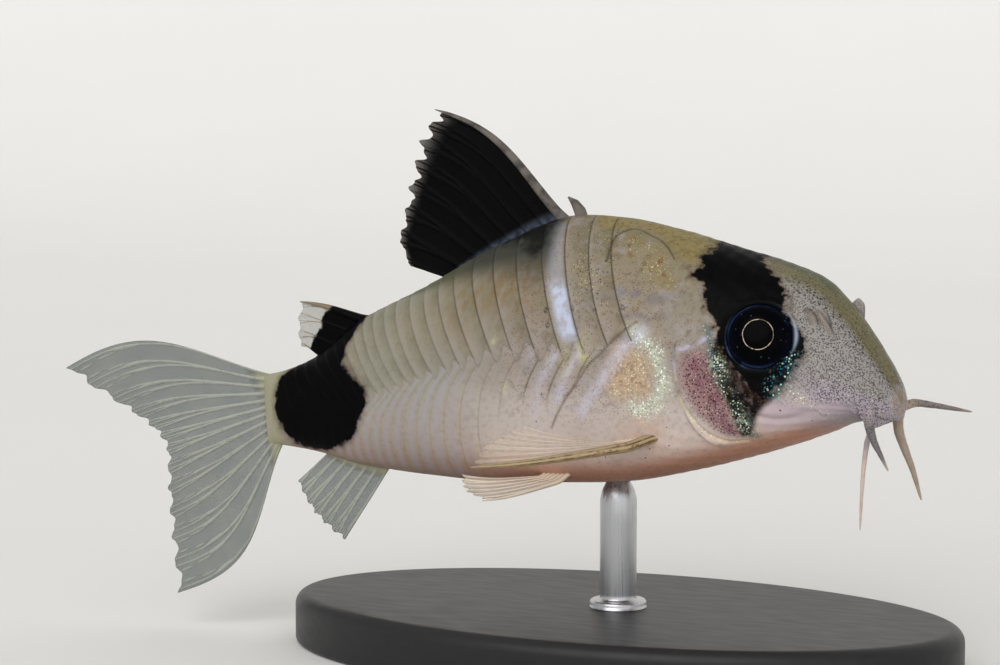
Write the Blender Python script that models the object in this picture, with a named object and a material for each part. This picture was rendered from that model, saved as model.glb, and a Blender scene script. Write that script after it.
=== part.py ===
"""A panda corydoras catfish, still and life size, held over a plain oval base by one short rod.

The fish faces +X with its left side toward +Y. It is modelled straight and level, with every place given
as a distance behind the snout, a distance from the middle plane and a height above the belly, all in
millimetres. pose() then bends it into its gentle curve, lifts its nose and sets it over the stand, whose
underside centre is the origin.
"""
import math

import bmesh
import bpy
import numpy as np

for leftover in list(bpy.data.objects):
    bpy.data.objects.remove(leftover, do_unlink=True)

MM = 0.001
GAP = 0.3
RIGHT, LEFT = -1, 1

# The fish's pose over the stand
BODY_LENGTH = 40.0
ROD_PLACE = 17.6
FISH_LIFT = 10.6
NOSE_UP = 4.0
PITCH_HEIGHT = 6.0
HEAD_TURN, TAIL_TURN = 8.0, 8.0
HEAD_TURN_FROM, TAIL_TURN_FROM = 12.0, 22.0

# Cross sections of the body: distance behind the snout, height of back, height of belly, half width,
# height of the widest place, roundness above it, roundness below it
SECTIONS = np.array([
    (0.0, 4.2, 4.0, 0.0, 4.1, 2.0, 2.0),
    (0.35, 5.5, 3.5, 1.5, 4.3, 2.0, 2.0),
    (1.2, 7.1, 3.5, 2.5, 4.7, 2.0, 2.0),
    (3.0, 9.95, 3.2, 3.4, 5.2, 2.0, 2.2),
    (4.4, 11.5, 2.7, 3.87, 5.35, 2.0, 2.3),
    (6.0, 12.3, 2.2, 4.3, 5.5, 2.0, 2.4),
    (9.5, 13.5, 1.3, 5.1, 5.6, 2.0, 2.6),
    (13.0, 14.7, 0.6, 5.6, 5.5, 1.9, 2.8),
    (16.5, 15.6, 0.1, 5.6, 5.4, 1.8, 2.8),
    (19.5, 15.9, 0.0, 5.2, 5.6, 1.7, 2.6),
    (24.5, 14.5, 0.0, 4.3, 5.9, 1.8, 2.4),
    (30.0, 12.0, 0.5, 3.2, 6.2, 1.9, 2.2),
    (34.5, 10.1, 1.2, 2.3, 6.0, 2.0, 2.0),
    (38.0, 7.8, 2.2, 1.5, 5.2, 2.0, 2.0),
    (40.0, 7.2, 2.6, 0.9, 4.9, 2.0, 2.0),
])


def smooth_curve(xs, ys, x):
    """Curve through the given points that never overshoots between them"""
    xs, ys, x = (np.asarray(v, float) for v in (xs, ys, x))
    step = np.diff(xs)
    slope = np.diff(ys) / step
    tangent = np.zeros_like(xs)
    tangent[0], tangent[-1] = slope[0], slope[-1]
    for i in range(1, len(xs) - 1):
        if slope[i - 1] * slope[i] > 0:
            before, after = 2 * step[i] + step[i - 1], step[i] + 2 * step[i - 1]
            tangent[i] = (before + after) / (before / slope[i - 1] + after / slope[i])
    i = np.clip(np.searchsorted(xs, x) - 1, 0, len(xs) - 2)
    t = (x - xs[i]) / step[i]
    return ((1 + 2 * t) * (1 - t) ** 2 * ys[i] + t * (1 - t) ** 2 * step[i] * tangent[i]
            + t * t * (3 - 2 * t) * ys[i + 1] + t * t * (t - 1) * step[i] * tangent[i + 1])


def ease(low, high, x):
    """0 below low, 1 above high and smooth between"""
    t = np.clip((np.asarray(x, float) - low) / (high - low), 0.0, 1.0)
    return t * t * (3 - 2 * t)


def section(distance):
    """Back, belly, half width, widest height and the two roundnesses at a distance behind the snout"""
    root = np.sqrt(np.clip(distance, 0.0, BODY_LENGTH))
    return [smooth_curve(np.sqrt(SECTIONS[:, 0]), SECTIONS[:, column], root) for column in range(1, 7)]


def pose(distance, side, height):
    """World point in metres of a place on the straight, level fish"""
    distance, side, height = (np.asarray(v, float) for v in (distance, side, height))
    head_curve = math.radians(HEAD_TURN) / HEAD_TURN_FROM
    tail_curve = math.radians(TAIL_TURN) / (BODY_LENGTH - TAIL_TURN_FROM)
    ahead = np.clip(HEAD_TURN_FROM - distance, 0.0, None)
    behind = np.clip(distance - TAIL_TURN_FROM, 0.0, None)
    heading = tail_curve * behind - head_curve * ahead
    x = ROD_PLACE - distance - head_curve ** 2 * ahead ** 3 / 6 + tail_curve ** 2 * behind ** 3 / 6
    y = -0.5 * head_curve * ahead ** 2 - 0.5 * tail_curve * behind ** 2
    x, y = x - side * np.sin(heading), y + side * np.cos(heading)
    pitch, up = math.radians(NOSE_UP), height - PITCH_HEIGHT
    # The nose lifts about a point over the rod, so the rod's place stays at the origin
    lifted = x * math.cos(pitch) - up * math.sin(pitch)
    z = PITCH_HEIGHT + x * math.sin(pitch) + up * math.cos(pitch)
    return np.stack(np.broadcast_arrays(lifted, y, z + FISH_LIFT), -1) * MM


def around(distance, angle, raised=0.0):
    """Side and height of a place on the skin: angle runs from 0 at the back to 180 at the belly"""
    back, belly, half_width, widest, upper, lower = section(distance)

    def outline(turn):
        c, s = np.cos(turn), np.sin(turn)
        power = 2.0 / np.where(c > 0, upper, lower)
        reach = np.where(c > 0, back - widest, widest - belly)
        return (half_width * np.sign(s) * np.abs(s) ** power,
                widest + reach * np.sign(c) * np.abs(c) ** power)

    turn = np.radians(np.asarray(angle, float))
    side, height = outline(turn)
    side_after, height_after = outline(turn + 0.02)
    side_before, height_before = outline(turn - 0.02)
    along_side, along_height = side_after - side_before, height_after - height_before
    size = np.hypot(along_side, along_height) + 1e-9
    return side - raised * along_height / size, height + raised * along_side / size


def skin(distance, angle, raised=0.0):
    """World point on the skin, or raised off it by some millimetres"""
    side, height = around(distance, angle, raised)
    return pose(distance, side, height)


def skin_normal(distance, angle):
    """Unit vector out of the skin"""
    along = skin(distance + 0.05, angle) - skin(distance - 0.05, angle)
    across = skin(distance, angle + 1.0) - skin(distance, angle - 1.0)
    normal = np.cross(across, along)
    return normal / np.linalg.norm(normal)


def material(name, colour, roughness, metallic=0.0, alpha=1.0):
    made = bpy.data.materials.new(name)
    made.use_nodes = True
    shader = made.node_tree.nodes["Principled BSDF"]
    shader.inputs["Base Color"].default_value = (*colour, 1.0)
    shader.inputs["Roughness"].default_value = roughness
    shader.inputs["Metallic"].default_value = metallic
    shader.inputs["Alpha"].default_value = alpha
    return made


def add_node(name, points, faces, look, sharp=35.0):
    """One closed object from world points and faces, its faces turned outward"""
    mesh = bpy.data.meshes.new(name)
    mesh.from_pydata([tuple(p) for p in points], [], faces)
    shape = bmesh.new()
    shape.from_mesh(mesh)
    bmesh.ops.recalc_face_normals(shape, faces=shape.faces)
    if shape.calc_volume(signed=True) < 0:
        bmesh.ops.reverse_faces(shape, faces=shape.faces)
    shape.to_mesh(mesh)
    shape.free()
    mesh.shade_smooth()
    mesh.set_sharp_from_angle(angle=math.radians(sharp))
    mesh.materials.append(look)
    node = bpy.data.objects.new(name, mesh)
    bpy.context.scene.collection.objects.link(node)
    return node


flesh = material("flesh", (0.47, 0.39, 0.31), 0.4)
black = material("black fin", (0.01, 0.01, 0.012), 0.5)
clear = material("clear fin", (0.55, 0.55, 0.50), 0.4, alpha=0.6)
cream = material("cream fin", (0.62, 0.52, 0.38), 0.4)
feeler = material("barbel", (0.55, 0.46, 0.38), 0.4)
eye_black = material("eye", (0.01, 0.012, 0.02), 0.1)
base_look = material("stand base", (0.06, 0.06, 0.065), 0.4)
rod_look = material("stand rod", (0.7, 0.7, 0.72), 0.3, metallic=1.0)

# Rows run along the fish: 0 is the middle of the back, 1 the lateral line, 2 the middle of the belly
ROWS = [0.0, 0.07, 0.17, 0.28, 0.39, 0.50, 0.61, 0.72, 0.83, 0.95,
        1.05, 1.13, 1.22, 1.32, 1.42, 1.53, 1.64, 1.76, 1.88, 2.0]
LATERAL_LINE_ANGLE = (65.0, 96.0)
LATERAL_LINE_SPAN = (12.0, 32.0)


def row_angle(row, distance):
    """Angle round the body of a row, which follows the lateral line as it drops toward the tail"""
    line = LATERAL_LINE_ANGLE[0] + (LATERAL_LINE_ANGLE[1] - LATERAL_LINE_ANGLE[0]) * np.clip(
        (distance - LATERAL_LINE_SPAN[0]) / (LATERAL_LINE_SPAN[1] - LATERAL_LINE_SPAN[0]), 0.0, 1.0)
    return np.where(row < 1.0, row * line, line + (row - 1.0) * (180.0 - line))


def ringed_body(name, rings, look):
    """Closed body from rings of (distance, raised) pairs of arrays, one value for each row"""
    rows = np.array(ROWS)
    count = 2 * len(rows) - 2
    points, faces = [], []
    for distance, raised in rings:
        angle = row_angle(rows, distance)
        right = skin(distance, -angle, raised)
        left = skin(distance, angle, raised)
        points.extend(left)
        points.extend(right[-2:0:-1])
    for i in range(len(rings) - 1):
        for j in range(count):
            k = (j + 1) % count
            a, b, c, d = i * count + j, i * count + k, (i + 1) * count + k, (i + 1) * count + j
            faces.extend([(a, b, c), (a, c, d)] if j < count // 2 else [(a, b, d), (b, c, d)])
    for start in (0, (len(rings) - 1) * count):
        centre = len(points)
        points.append(np.mean(points[start:start + count], axis=0))
        faces.extend((centre, start + j, start + (j + 1) % count) for j in range(count))
    return add_node(name, points, faces, look)


# The head ends at the rear edge of the skull above and of the gill cover at the side
HEAD_EDGE_ANGLES = [0.0, 30.0, 50.0, 64.0, 73.0, 90.0, 113.0, 130.0, 150.0, 180.0]
HEAD_EDGE_PLACES = [13.2, 12.6, 11.6, 11.1, 11.8, 11.5, 10.7, 9.8, 8.9, 8.4]
HEAD_NOMINAL = 11.0
HEAD_RINGS = [0.1, 0.35, 0.75, 1.15, 1.5, 2.0, 2.8, 3.7, 4.7, 5.7, 6.7, 7.7, 8.7, 9.7, 10.5, 11.0]
MOUTH_RING, MOUTH_HALF_WIDTH = 1.15, 0.32
MOUTH_ANGLE = 114.0
MOUTH_DEPTH, LIP_RAISED = 0.4, 0.25
LIP_FROM_MOUTH, LIP_HALF_WIDTH = 0.5, 0.3
SNOUT_END = 3.5
GILL_COVER_RAISED = 0.25
GILL_COVER_FROM = 6.0
GILL_COVER_TOP, GILL_COVER_FOOT = (66.0, 76.0), (128.0, 142.0)


def head_edge(rows):
    return smooth_curve(HEAD_EDGE_ANGLES, HEAD_EDGE_PLACES, row_angle(rows, HEAD_NOMINAL))


def head_rings():
    """Rings of the head, which slant more and more toward its rear edge, with mouth and gill covers raised"""
    rows = np.array(ROWS)
    rings = []
    for place in HEAD_RINGS:
        follow = ease(SNOUT_END, HEAD_NOMINAL, place)
        distance = place + (head_edge(rows) - HEAD_NOMINAL) * follow
        angle = row_angle(rows, distance)
        gill_cover = ease(*GILL_COVER_TOP, angle) * (1 - ease(*GILL_COVER_FOOT, angle))
        gill_cover = gill_cover * ease(GILL_COVER_FROM, HEAD_NOMINAL, place)
        below = ease(MOUTH_ANGLE - 6.0, MOUTH_ANGLE + 4.0, angle)
        groove = math.exp(-2.0 * ((place - MOUTH_RING) / MOUTH_HALF_WIDTH) ** 2)
        lips = math.exp(-((abs(place - MOUTH_RING) - LIP_FROM_MOUTH) / LIP_HALF_WIDTH) ** 2)
        rings.append((distance, GILL_COVER_RAISED * gill_cover + below * (LIP_RAISED * lips - MOUTH_DEPTH * groove)))
    return rings


# The bony plates lie like roof tiles in an upper and a lower row, each raised at its rear edge
PLATES = 17
FIRST_PLATE_EDGE = 16.6
FIRST_PLATE_LENGTH, PLATE_SHRINK = 1.79, 0.966
PLATE_RAISED = 0.24
PLATE_STEP = 0.30
FORWARD_SWEEP, BACKWARD_SWEEP = 2.3, 2.2
TRUNK_PLATES = 9
SHOULDER_SUNK = 0.05
MIDLINE_ROWS = 0.12
LOWER_PLATES_FROM = (16.2, 17.6)
SOFT_BELLY_ANGLE, SOFT_BELLY_CHANGE, SOFT_BELLY_EDGE = 100.0, 50.0, 14.0
SOFT_BELLY_SPAN = (18.0, 27.0)
LAST_PLATES = (38.0, 39.6)
LOWER_SWEEP_ROWS = 0.12


def plate_edge(index, rows):
    """Distance behind the snout of the rear edge of a plate, at each row: the edges form an arrow head"""
    def midline(number):
        return FIRST_PLATE_EDGE + FIRST_PLATE_LENGTH * (1 - PLATE_SHRINK ** number) / (1 - PLATE_SHRINK)

    lower = rows > 1.0
    edge = np.where(lower, midline(index + 0.5), midline(index))
    fade = np.clip((BODY_LENGTH - edge) / 3.5, 0.0, 1.0)
    upper_sweep = FORWARD_SWEEP * np.clip(rows, 0.0, 1.0) ** 2.3
    lower_sweep = FORWARD_SWEEP - BACKWARD_SWEEP * (1 - np.exp(-np.clip(rows - 1.0, 0.0, 1.0) / LOWER_SWEEP_ROWS))
    return np.minimum(edge - np.where(lower, lower_sweep, upper_sweep) * fade, BODY_LENGTH)


def plate_height(edge, rows):
    """How far a plate's rear edge stands up: nothing on the midlines, the soft belly and the far tail"""
    angle = row_angle(rows, edge)
    upper = ease(0.0, MIDLINE_ROWS, rows)
    last = SOFT_BELLY_ANGLE + SOFT_BELLY_CHANGE * ease(*SOFT_BELLY_SPAN, edge)
    lower = ease(*LOWER_PLATES_FROM, edge) * (1 - ease(last, last + SOFT_BELLY_EDGE, angle))
    return PLATE_RAISED * np.where(rows > 1.0, lower, upper) * (1 - ease(*LAST_PLATES, edge))


def plated_rings(first, last):
    """Rings from one plate edge to another: out at each rear edge, and back in just behind it"""
    rows = np.array(ROWS)
    rings = []
    for index in range(first, last + 1):
        edge = plate_edge(index, rows)
        crest = plate_height(edge, rows)
        if index > first:
            rings.append((edge, crest))
        if index < last:
            rings.append((edge + PLATE_STEP, np.zeros(len(rows))))
    return rings


def trunk_rings():
    rows = np.array(ROWS)
    start = head_edge(rows) + GAP
    first_edge = plate_edge(0, rows)
    sunk = np.full(len(rows), -SHOULDER_SUNK)
    rings = [(start + (first_edge - start) * part, sunk) for part in (0.0, 0.2, 0.4, 0.6, 0.8)]
    rings.append((first_edge, plate_height(first_edge, rows)))
    return rings + plated_rings(0, TRUNK_PLATES)


def tail_rings():
    rows = np.array(ROWS)
    start = plate_edge(TRUNK_PLATES, rows) + GAP
    level = np.zeros(len(rows))
    return [(start, level)] + plated_rings(TRUNK_PLATES, PLATES)[1:] + [(level + BODY_LENGTH, level)]


trunk = ringed_body("trunk", trunk_rings(), flesh)
tail = ringed_body("tail", tail_rings(), flesh)


def tube(points, radii, sides=8):
    """Points and faces of a closed, tapering tube along a path of world points; radii in millimetres"""
    path = np.array(points)
    forward = np.gradient(path, axis=0)
    forward /= np.linalg.norm(forward, axis=1, keepdims=True)
    across = np.cross(forward[0], (0.3, 1.0, 0.2))
    rings = []
    for place, ahead, radius in zip(path, forward, radii):
        across = across - ahead * np.dot(across, ahead)
        across /= np.linalg.norm(across)
        other = np.cross(ahead, across)
        turns = np.arange(sides) * 2 * math.pi / sides
        rings.append(place + radius * MM * (np.outer(np.cos(turns), across) + np.outer(np.sin(turns), other)))
    faces = [(0 + j, (j + 1) % sides + 0, sides + (j + 1) % sides, sides + j) for j in range(sides)]
    faces = [tuple(v + i * sides for v in face) for i in range(len(path) - 1) for face in faces]
    faces.append(tuple(range(sides)))
    faces.append(tuple(range((len(path) - 1) * sides, len(path) * sides)))
    return np.concatenate(rings), faces


def ball(name, centre, radius, look, segments, rings):
    mesh = bpy.data.meshes.new(name)
    shape = bmesh.new()
    bmesh.ops.create_uvsphere(shape, u_segments=segments, v_segments=rings, radius=radius * MM)
    shape.to_mesh(mesh)
    shape.free()
    mesh.shade_smooth()
    mesh.materials.append(look)
    node = bpy.data.objects.new(name, mesh)
    node.location = centre
    bpy.context.scene.collection.objects.link(node)
    return node


def combine(target, pieces, operation):
    """Join closed pieces to a node, or cut them out of it, and keep the largest closed surface"""
    group = bpy.data.collections.new("pieces")
    bpy.context.scene.collection.children.link(group)
    for piece in pieces:
        bpy.context.scene.collection.objects.unlink(piece)
        group.objects.link(piece)
    change = target.modifiers.new(operation, "BOOLEAN")
    change.operation = operation
    change.operand_type = "COLLECTION"
    change.collection = group
    change.solver = "EXACT"
    bpy.context.view_layer.update()
    result = bpy.data.meshes.new_from_object(target.evaluated_get(bpy.context.evaluated_depsgraph_get()))
    target.modifiers.clear()
    target.data = result
    for piece in pieces:
        bpy.data.objects.remove(piece, do_unlink=True)
    bpy.data.collections.remove(group)
    shape = bmesh.new()
    shape.from_mesh(result)
    unseen, parts = set(shape.verts), []
    while unseen:
        front = [unseen.pop()]
        part = set(front)
        while front:
            for edge in front.pop().link_edges:
                for vert in edge.verts:
                    if vert in unseen:
                        unseen.discard(vert)
                        part.add(vert)
                        front.append(vert)
        parts.append(part)
    for part in sorted(parts, key=len)[:-1]:
        bmesh.ops.delete(shape, geom=list(part), context="VERTS")
    bmesh.ops.triangulate(shape, faces=shape.faces)
    shape.to_mesh(result)
    shape.free()


# Each eye is a ball sunk in its socket, low relief outside and most of it within the head
EYE_PLACE, EYE_ANGLE = 6.75, 65.0
EYE_RADIUS, EYE_STANDS_OUT = 2.0, 0.5
SOCKET_RADIUS = EYE_RADIUS + GAP
# Place, angle and radius of each nostril, a short cone cut into the skin
NOSTRILS = [(4.1, 46.0, 0.36), (3.2, 45.0, 0.28)]
NOSTRIL_DEPTH = 0.5
# A small skin flap stands above and between the nostrils
FLAP_PLACE, FLAP_ANGLE, FLAP_HEIGHT, FLAP_RADIUS = 3.6, 37.0, 0.85, 0.3
# A fleshy lobe hangs from each side of the upper lip, a little forward and outward
LIP_LOBE_PLACE, LIP_LOBE_ANGLE, LIP_LOBE_LENGTH, LIP_LOBE_RADIUS = 1.55, 140.0, 0.9, 0.36


def eye_centre(side):
    normal = skin_normal(EYE_PLACE, side * EYE_ANGLE)
    return skin(EYE_PLACE, side * EYE_ANGLE) - normal * (EYE_RADIUS - EYE_STANDS_OUT) * MM


def lobe_way(side):
    """Direction in which a lip lobe hangs"""
    return np.array((0.25, side * 0.15, -1.0))


def cone(name, start, way, ends, radii):
    """Closed round piece from start along way: each end a number of millimetres, with a radius at each"""
    path = [start + way * end * MM for end in ends]
    return add_node(name, *tube(path, radii), flesh)


def make_head():
    head = ringed_body("head", head_rings(), flesh)
    grown, cut = [], []
    for side in (RIGHT, LEFT):
        cut.append(ball("socket", eye_centre(side), SOCKET_RADIUS, flesh, 20, 12))
        for place, angle, radius in NOSTRILS:
            here, out = skin(place, side * angle), skin_normal(place, side * angle)
            cut.append(cone("nostril", here, out, (-NOSTRIL_DEPTH, 1.0), (radius * 0.7, radius * 1.2)))
        here, out = skin(FLAP_PLACE, side * FLAP_ANGLE), skin_normal(FLAP_PLACE, side * FLAP_ANGLE)
        grown.append(cone("flap", here, out, (-0.5, FLAP_HEIGHT * 0.6, FLAP_HEIGHT),
                          (FLAP_RADIUS, FLAP_RADIUS, FLAP_RADIUS * 0.6)))
        here = skin(LIP_LOBE_PLACE, side * LIP_LOBE_ANGLE)
        grown.append(cone("lobe", here, lobe_way(side), (-0.5, LIP_LOBE_LENGTH * 0.5, LIP_LOBE_LENGTH),
                          (LIP_LOBE_RADIUS, LIP_LOBE_RADIUS * 0.9, LIP_LOBE_RADIUS * 0.5)))
    combine(head, grown, "UNION")
    combine(head, cut, "DIFFERENCE")
    return head


head = make_head()
for side, label in ((RIGHT, "right"), (LEFT, "left")):
    ball("eye_" + label, eye_centre(side), EYE_RADIUS, eye_black, 22, 12)

# Two barbels hang at each corner of the mouth: the upper one leaves the skin, square to it, and the lower
# one goes on from the lip lobe. Each bends through its places, given as millimetres ahead of the root,
# away from the middle and down.
CORNER_PLACE, CORNER_ANGLE = 1.25, 98.0
BARBEL_RADII = (0.32, 0.30, 0.28, 0.26, 0.22, 0.12)
BARBEL_NECK = 0.3
BARBEL_RINGS = 13
BARBELS = {
    "barbel_lower_right": (RIGHT, [(-0.15, 0.0, 0.9), (-0.25, 0.1, 2.3), (-0.33, 0.2, 3.7), (-0.35, 0.3, 5.3)]),
    "barbel_upper_right": (RIGHT, [(0.3, 0.35, 0.5), (0.5, 0.5, 1.3), (0.75, 0.5, 2.2), (1.5, 0.5, 3.6)]),
    "barbel_lower_left": (LEFT, [(0.1, 0.15, 0.9), (0.4, 0.3, 1.9), (0.85, 0.5, 3.0), (1.25, 0.8, 4.4)]),
    "barbel_upper_left": (LEFT, [(0.5, 0.4, 0.35), (1.3, 0.85, 0.6), (2.3, 1.45, 0.8), (3.3, 2.05, 1.0)]),
}


def barbel_root(name, side):
    """Root of a barbel, just clear of the head, and its first way out"""
    if "upper" in name:
        out = skin_normal(CORNER_PLACE, side * CORNER_ANGLE)
        return skin(CORNER_PLACE, side * CORNER_ANGLE) + out * GAP * MM, out
    tip = skin(LIP_LOBE_PLACE, side * LIP_LOBE_ANGLE) + lobe_way(side) * LIP_LOBE_LENGTH * MM
    return tip + lobe_way(side) * GAP * MM, lobe_way(side)


def make_barbel(name, side, steps):
    root, out = barbel_root(name, side)
    bends = [np.zeros(3), out * BARBEL_NECK]
    bends.extend(np.array((ahead, side * away, -down)) for ahead, away, down in steps)
    bends = np.array(bends)
    knots = np.concatenate([[0.0], np.cumsum(np.linalg.norm(np.diff(bends, axis=0), axis=1))])
    knots /= knots[-1]
    places = np.linspace(0, 1, BARBEL_RINGS) ** 1.2
    path = root + np.stack([smooth_curve(knots, bends[:, axis], places) for axis in range(3)], -1) * MM
    radii = smooth_curve(np.linspace(0, 1, len(BARBEL_RADII)), BARBEL_RADII, places)
    add_node(name, *tube(path, radii), feeler)


for name, (side, steps) in BARBELS.items():
    make_barbel(name, side, steps)


def fin(name, rays, root_half, tip_half, web_half, notch, look):
    """Closed fin from its rays, each a row of world points; rays stand out as ridges of the web between"""
    rays = np.array(rays)
    steps = rays.shape[1]
    columns, halves = [], []
    along = np.linspace(0, 1, steps)
    for i, ray in enumerate(rays):
        columns.append(ray)
        halves.append(root_half[i] + (tip_half - root_half[i]) * along)
        if i < len(rays) - 1:
            between = (ray + rays[i + 1]) / 2
            between[-1] = between[-2] + (between[-1] - between[-2]) * (1 - notch)
            columns.append(between)
            halves.append(np.full(steps, web_half))
    grid, half = np.array(columns), np.array(halves)[..., None] * MM
    normal = np.cross(np.gradient(grid, axis=0), np.gradient(grid, axis=1))
    normal /= np.linalg.norm(normal, axis=-1, keepdims=True)
    points = np.concatenate([(grid + normal * half).reshape(-1, 3), (grid - normal * half).reshape(-1, 3)])
    wide, other = len(columns), len(columns) * steps
    faces = []
    for c in range(wide - 1):
        for s in range(steps - 1):
            a, b, d, e = c * steps + s, c * steps + s + 1, (c + 1) * steps + s + 1, (c + 1) * steps + s
            for shift in (0, other):
                faces.append((a + shift, b + shift, d + shift))
                faces.append((a + shift, d + shift, e + shift))
    rim = [c * steps for c in range(wide)] + [(wide - 1) * steps + s for s in range(1, steps)]
    rim += [c * steps + steps - 1 for c in range(wide - 2, -1, -1)] + [s for s in range(steps - 2, 0, -1)]
    for a, b in zip(rim, rim[1:] + rim[:1]):
        faces.append((a, b, b + other))
        faces.append((a, b + other, a + other))
    return add_node(name, points, faces, look, sharp=50.0)


def straight_ray(root, tip, steps, bulge=(0.0, 0.0, 0.0)):
    """Places on the straight fish along a ray that bows by the bulge between root and tip"""
    part = np.linspace(0, 1, steps)[:, None]
    bow = np.sin(math.pi * part ** 1.4)
    return np.array(root) + (np.array(tip) - np.array(root)) * part + np.array(bulge) * bow


def posed(places):
    return pose(places[:, 0], places[:, 1], places[:, 2])


WEB_HALF = 0.25

# The back fin: a strong spine in front, then rays that shorten and lie down toward the tail
DORSAL_FROM, DORSAL_TO = 20.4, 28.35
DORSAL_LENGTHS = [10.7, 10.1, 9.2, 8.1, 7.0, 5.9, 4.8, 2.7]
DORSAL_LEAN, DORSAL_LEAN_CHANGE = 40.5, 27.0
DORSAL_BOW = 1.0
SPINE_HALF, RAY_HALF, RAY_TIP_HALF = 0.46, 0.38, 0.27


def make_dorsal_fin():
    rays = []
    for number, length in enumerate(DORSAL_LENGTHS):
        part = number / (len(DORSAL_LENGTHS) - 1)
        place = DORSAL_FROM + (DORSAL_TO - DORSAL_FROM) * part
        lean = math.radians(DORSAL_LEAN - DORSAL_LEAN_CHANGE * part ** 2.6)
        root = (place, 0.0, section(place)[0] + GAP)
        tip = (place + length * math.cos(lean), 0.0, section(place)[0] + length * math.sin(lean))
        bow = DORSAL_BOW * (1 - part)
        rays.append(posed(straight_ray(root, tip, 8, bulge=(-math.sin(lean) * bow, 0.0, math.cos(lean) * bow))))
    fin("dorsal_fin", rays, [SPINE_HALF] + [RAY_HALF] * (len(rays) - 1), RAY_TIP_HALF, WEB_HALF, 0.5, black)


make_dorsal_fin()

# The small fatty fin: a short spine and a web behind it
ADIPOSE_ROOTS = [34.0, 35.1, 36.2, 37.2]
ADIPOSE_TIPS = [(38.3, 11.5), (38.6, 10.5), (38.6, 9.5), (38.4, 8.7)]


def make_adipose_fin():
    rays = []
    for place, (tip_place, tip_height) in zip(ADIPOSE_ROOTS, ADIPOSE_TIPS):
        root = (place, 0.0, section(place)[0] + GAP)
        rays.append(posed(straight_ray(root, (tip_place, 0.0, tip_height), 5, bulge=(0.0, 0.0, 0.15))))
    fin("adipose_fin", rays, [0.42, 0.28, 0.28, 0.28], RAY_TIP_HALF, WEB_HALF, 0.2, clear)


make_adipose_fin()

# The tail fin spreads from the end of the body into two lobes round a fork
CAUDAL_RAYS = 13
CAUDAL_ROOT_HIGH, CAUDAL_ROOT_LOW = 6.95, 2.85
FORK_LENGTH, FORK_ANGLE = 8.0, -16.6
UPPER_GAIN, UPPER_TURN, UPPER_POWER = 6.2, 20.6, 1.7
LOWER_GAIN, LOWER_TURN, LOWER_POWER = 4.2, 34.2, 1.5
LOBE_BULGE = 2.0


def make_caudal_fin():
    rays = []
    for number in range(CAUDAL_RAYS):
        across = 1 - 2 * number / (CAUDAL_RAYS - 1)
        gain, turn, power = ((UPPER_GAIN, UPPER_TURN, UPPER_POWER) if across >= 0
                             else (LOWER_GAIN, LOWER_TURN, LOWER_POWER))
        length = FORK_LENGTH + gain * abs(across) ** power
        angle = math.radians(FORK_ANGLE + turn * across)
        middle = (CAUDAL_ROOT_HIGH + CAUDAL_ROOT_LOW) / 2
        root_height = middle + across * (CAUDAL_ROOT_HIGH - CAUDAL_ROOT_LOW) / 2
        root = (BODY_LENGTH + GAP, 0.0, root_height)
        tip = (root[0] + length * math.cos(angle), 0.0, root_height + length * math.sin(angle))
        bow = LOBE_BULGE * across * abs(across)
        rays.append(posed(straight_ray(root, tip, 8, bulge=(-math.sin(angle) * bow, 0.0, math.cos(angle) * bow))))
    fin("caudal_fin", rays, [0.38] * CAUDAL_RAYS, RAY_TIP_HALF, WEB_HALF, 0.25, clear)


make_caudal_fin()

# The fin under the tail
ANAL_FROM, ANAL_TO, ANAL_RAYS = 33.0, 37.0, 7
ANAL_LENGTHS = (5.4, 2.6)
ANAL_DROPS = (50.0, 30.0)


def make_anal_fin():
    rays = []
    for number in range(ANAL_RAYS):
        part = number / (ANAL_RAYS - 1)
        place = ANAL_FROM + (ANAL_TO - ANAL_FROM) * part
        length = ANAL_LENGTHS[0] + (ANAL_LENGTHS[1] - ANAL_LENGTHS[0]) * part ** 1.3
        drop = math.radians(ANAL_DROPS[0] + (ANAL_DROPS[1] - ANAL_DROPS[0]) * part)
        root = (place, 0.0, section(place)[1] - GAP)
        tip = (place + length * math.cos(drop), 0.0, root[2] - length * math.sin(drop))
        rays.append(posed(straight_ray(root, tip, 6)))
    fin("anal_fin", rays, [0.36] * ANAL_RAYS, RAY_TIP_HALF, WEB_HALF, 0.25, clear)


make_anal_fin()


def paired_fin(name, side, roots, root_angle, first, last, lengths, spine_half, look):
    """Fin on one side, fanned between a first and a last ray, each given as back, away and down"""
    rays = []
    for number, length in enumerate(lengths):
        part = number / (len(lengths) - 1)
        place = roots[0] + (roots[1] - roots[0]) * part
        across, height = around(place, root_angle, GAP + spine_half * 0.9)
        way = np.array(first) * (1 - part) + np.array(last) * part
        way /= np.linalg.norm(way)
        tip = (place + way[0] * length, side * (across + way[1] * length), height - way[2] * length)
        bow = (0.0, side * 0.25, -0.15)
        rays.append(posed(straight_ray((place, side * across, height), tip, 7, bulge=bow)))
    halves = [spine_half] + [0.34] * (len(lengths) - 1)
    fin(name, rays, halves, RAY_TIP_HALF, WEB_HALF, 0.3, look)


PECTORAL = dict(roots=(13.3, 15.2), root_angle=113.0, first=(9.6, 4.4, 1.25), last=(5.9, 1.3, -1.7),
                lengths=[10.6, 10.3, 9.8, 9.2, 8.5, 7.7, 6.9, 6.1], spine_half=0.45)
PELVIC = dict(roots=(19.5, 20.9), root_angle=147.0, first=(4.7, 2.6, 0.6), last=(5.8, 0.9, -0.2),
              lengths=[5.6, 5.9, 6.1, 6.1, 6.0, 5.8], spine_half=0.36)
for side, label in ((RIGHT, "right"), (LEFT, "left")):
    paired_fin("pectoral_fin_" + label, side, look=cream, **PECTORAL)
    paired_fin("pelvic_fin_" + label, side, look=cream, **PELVIC)

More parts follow.
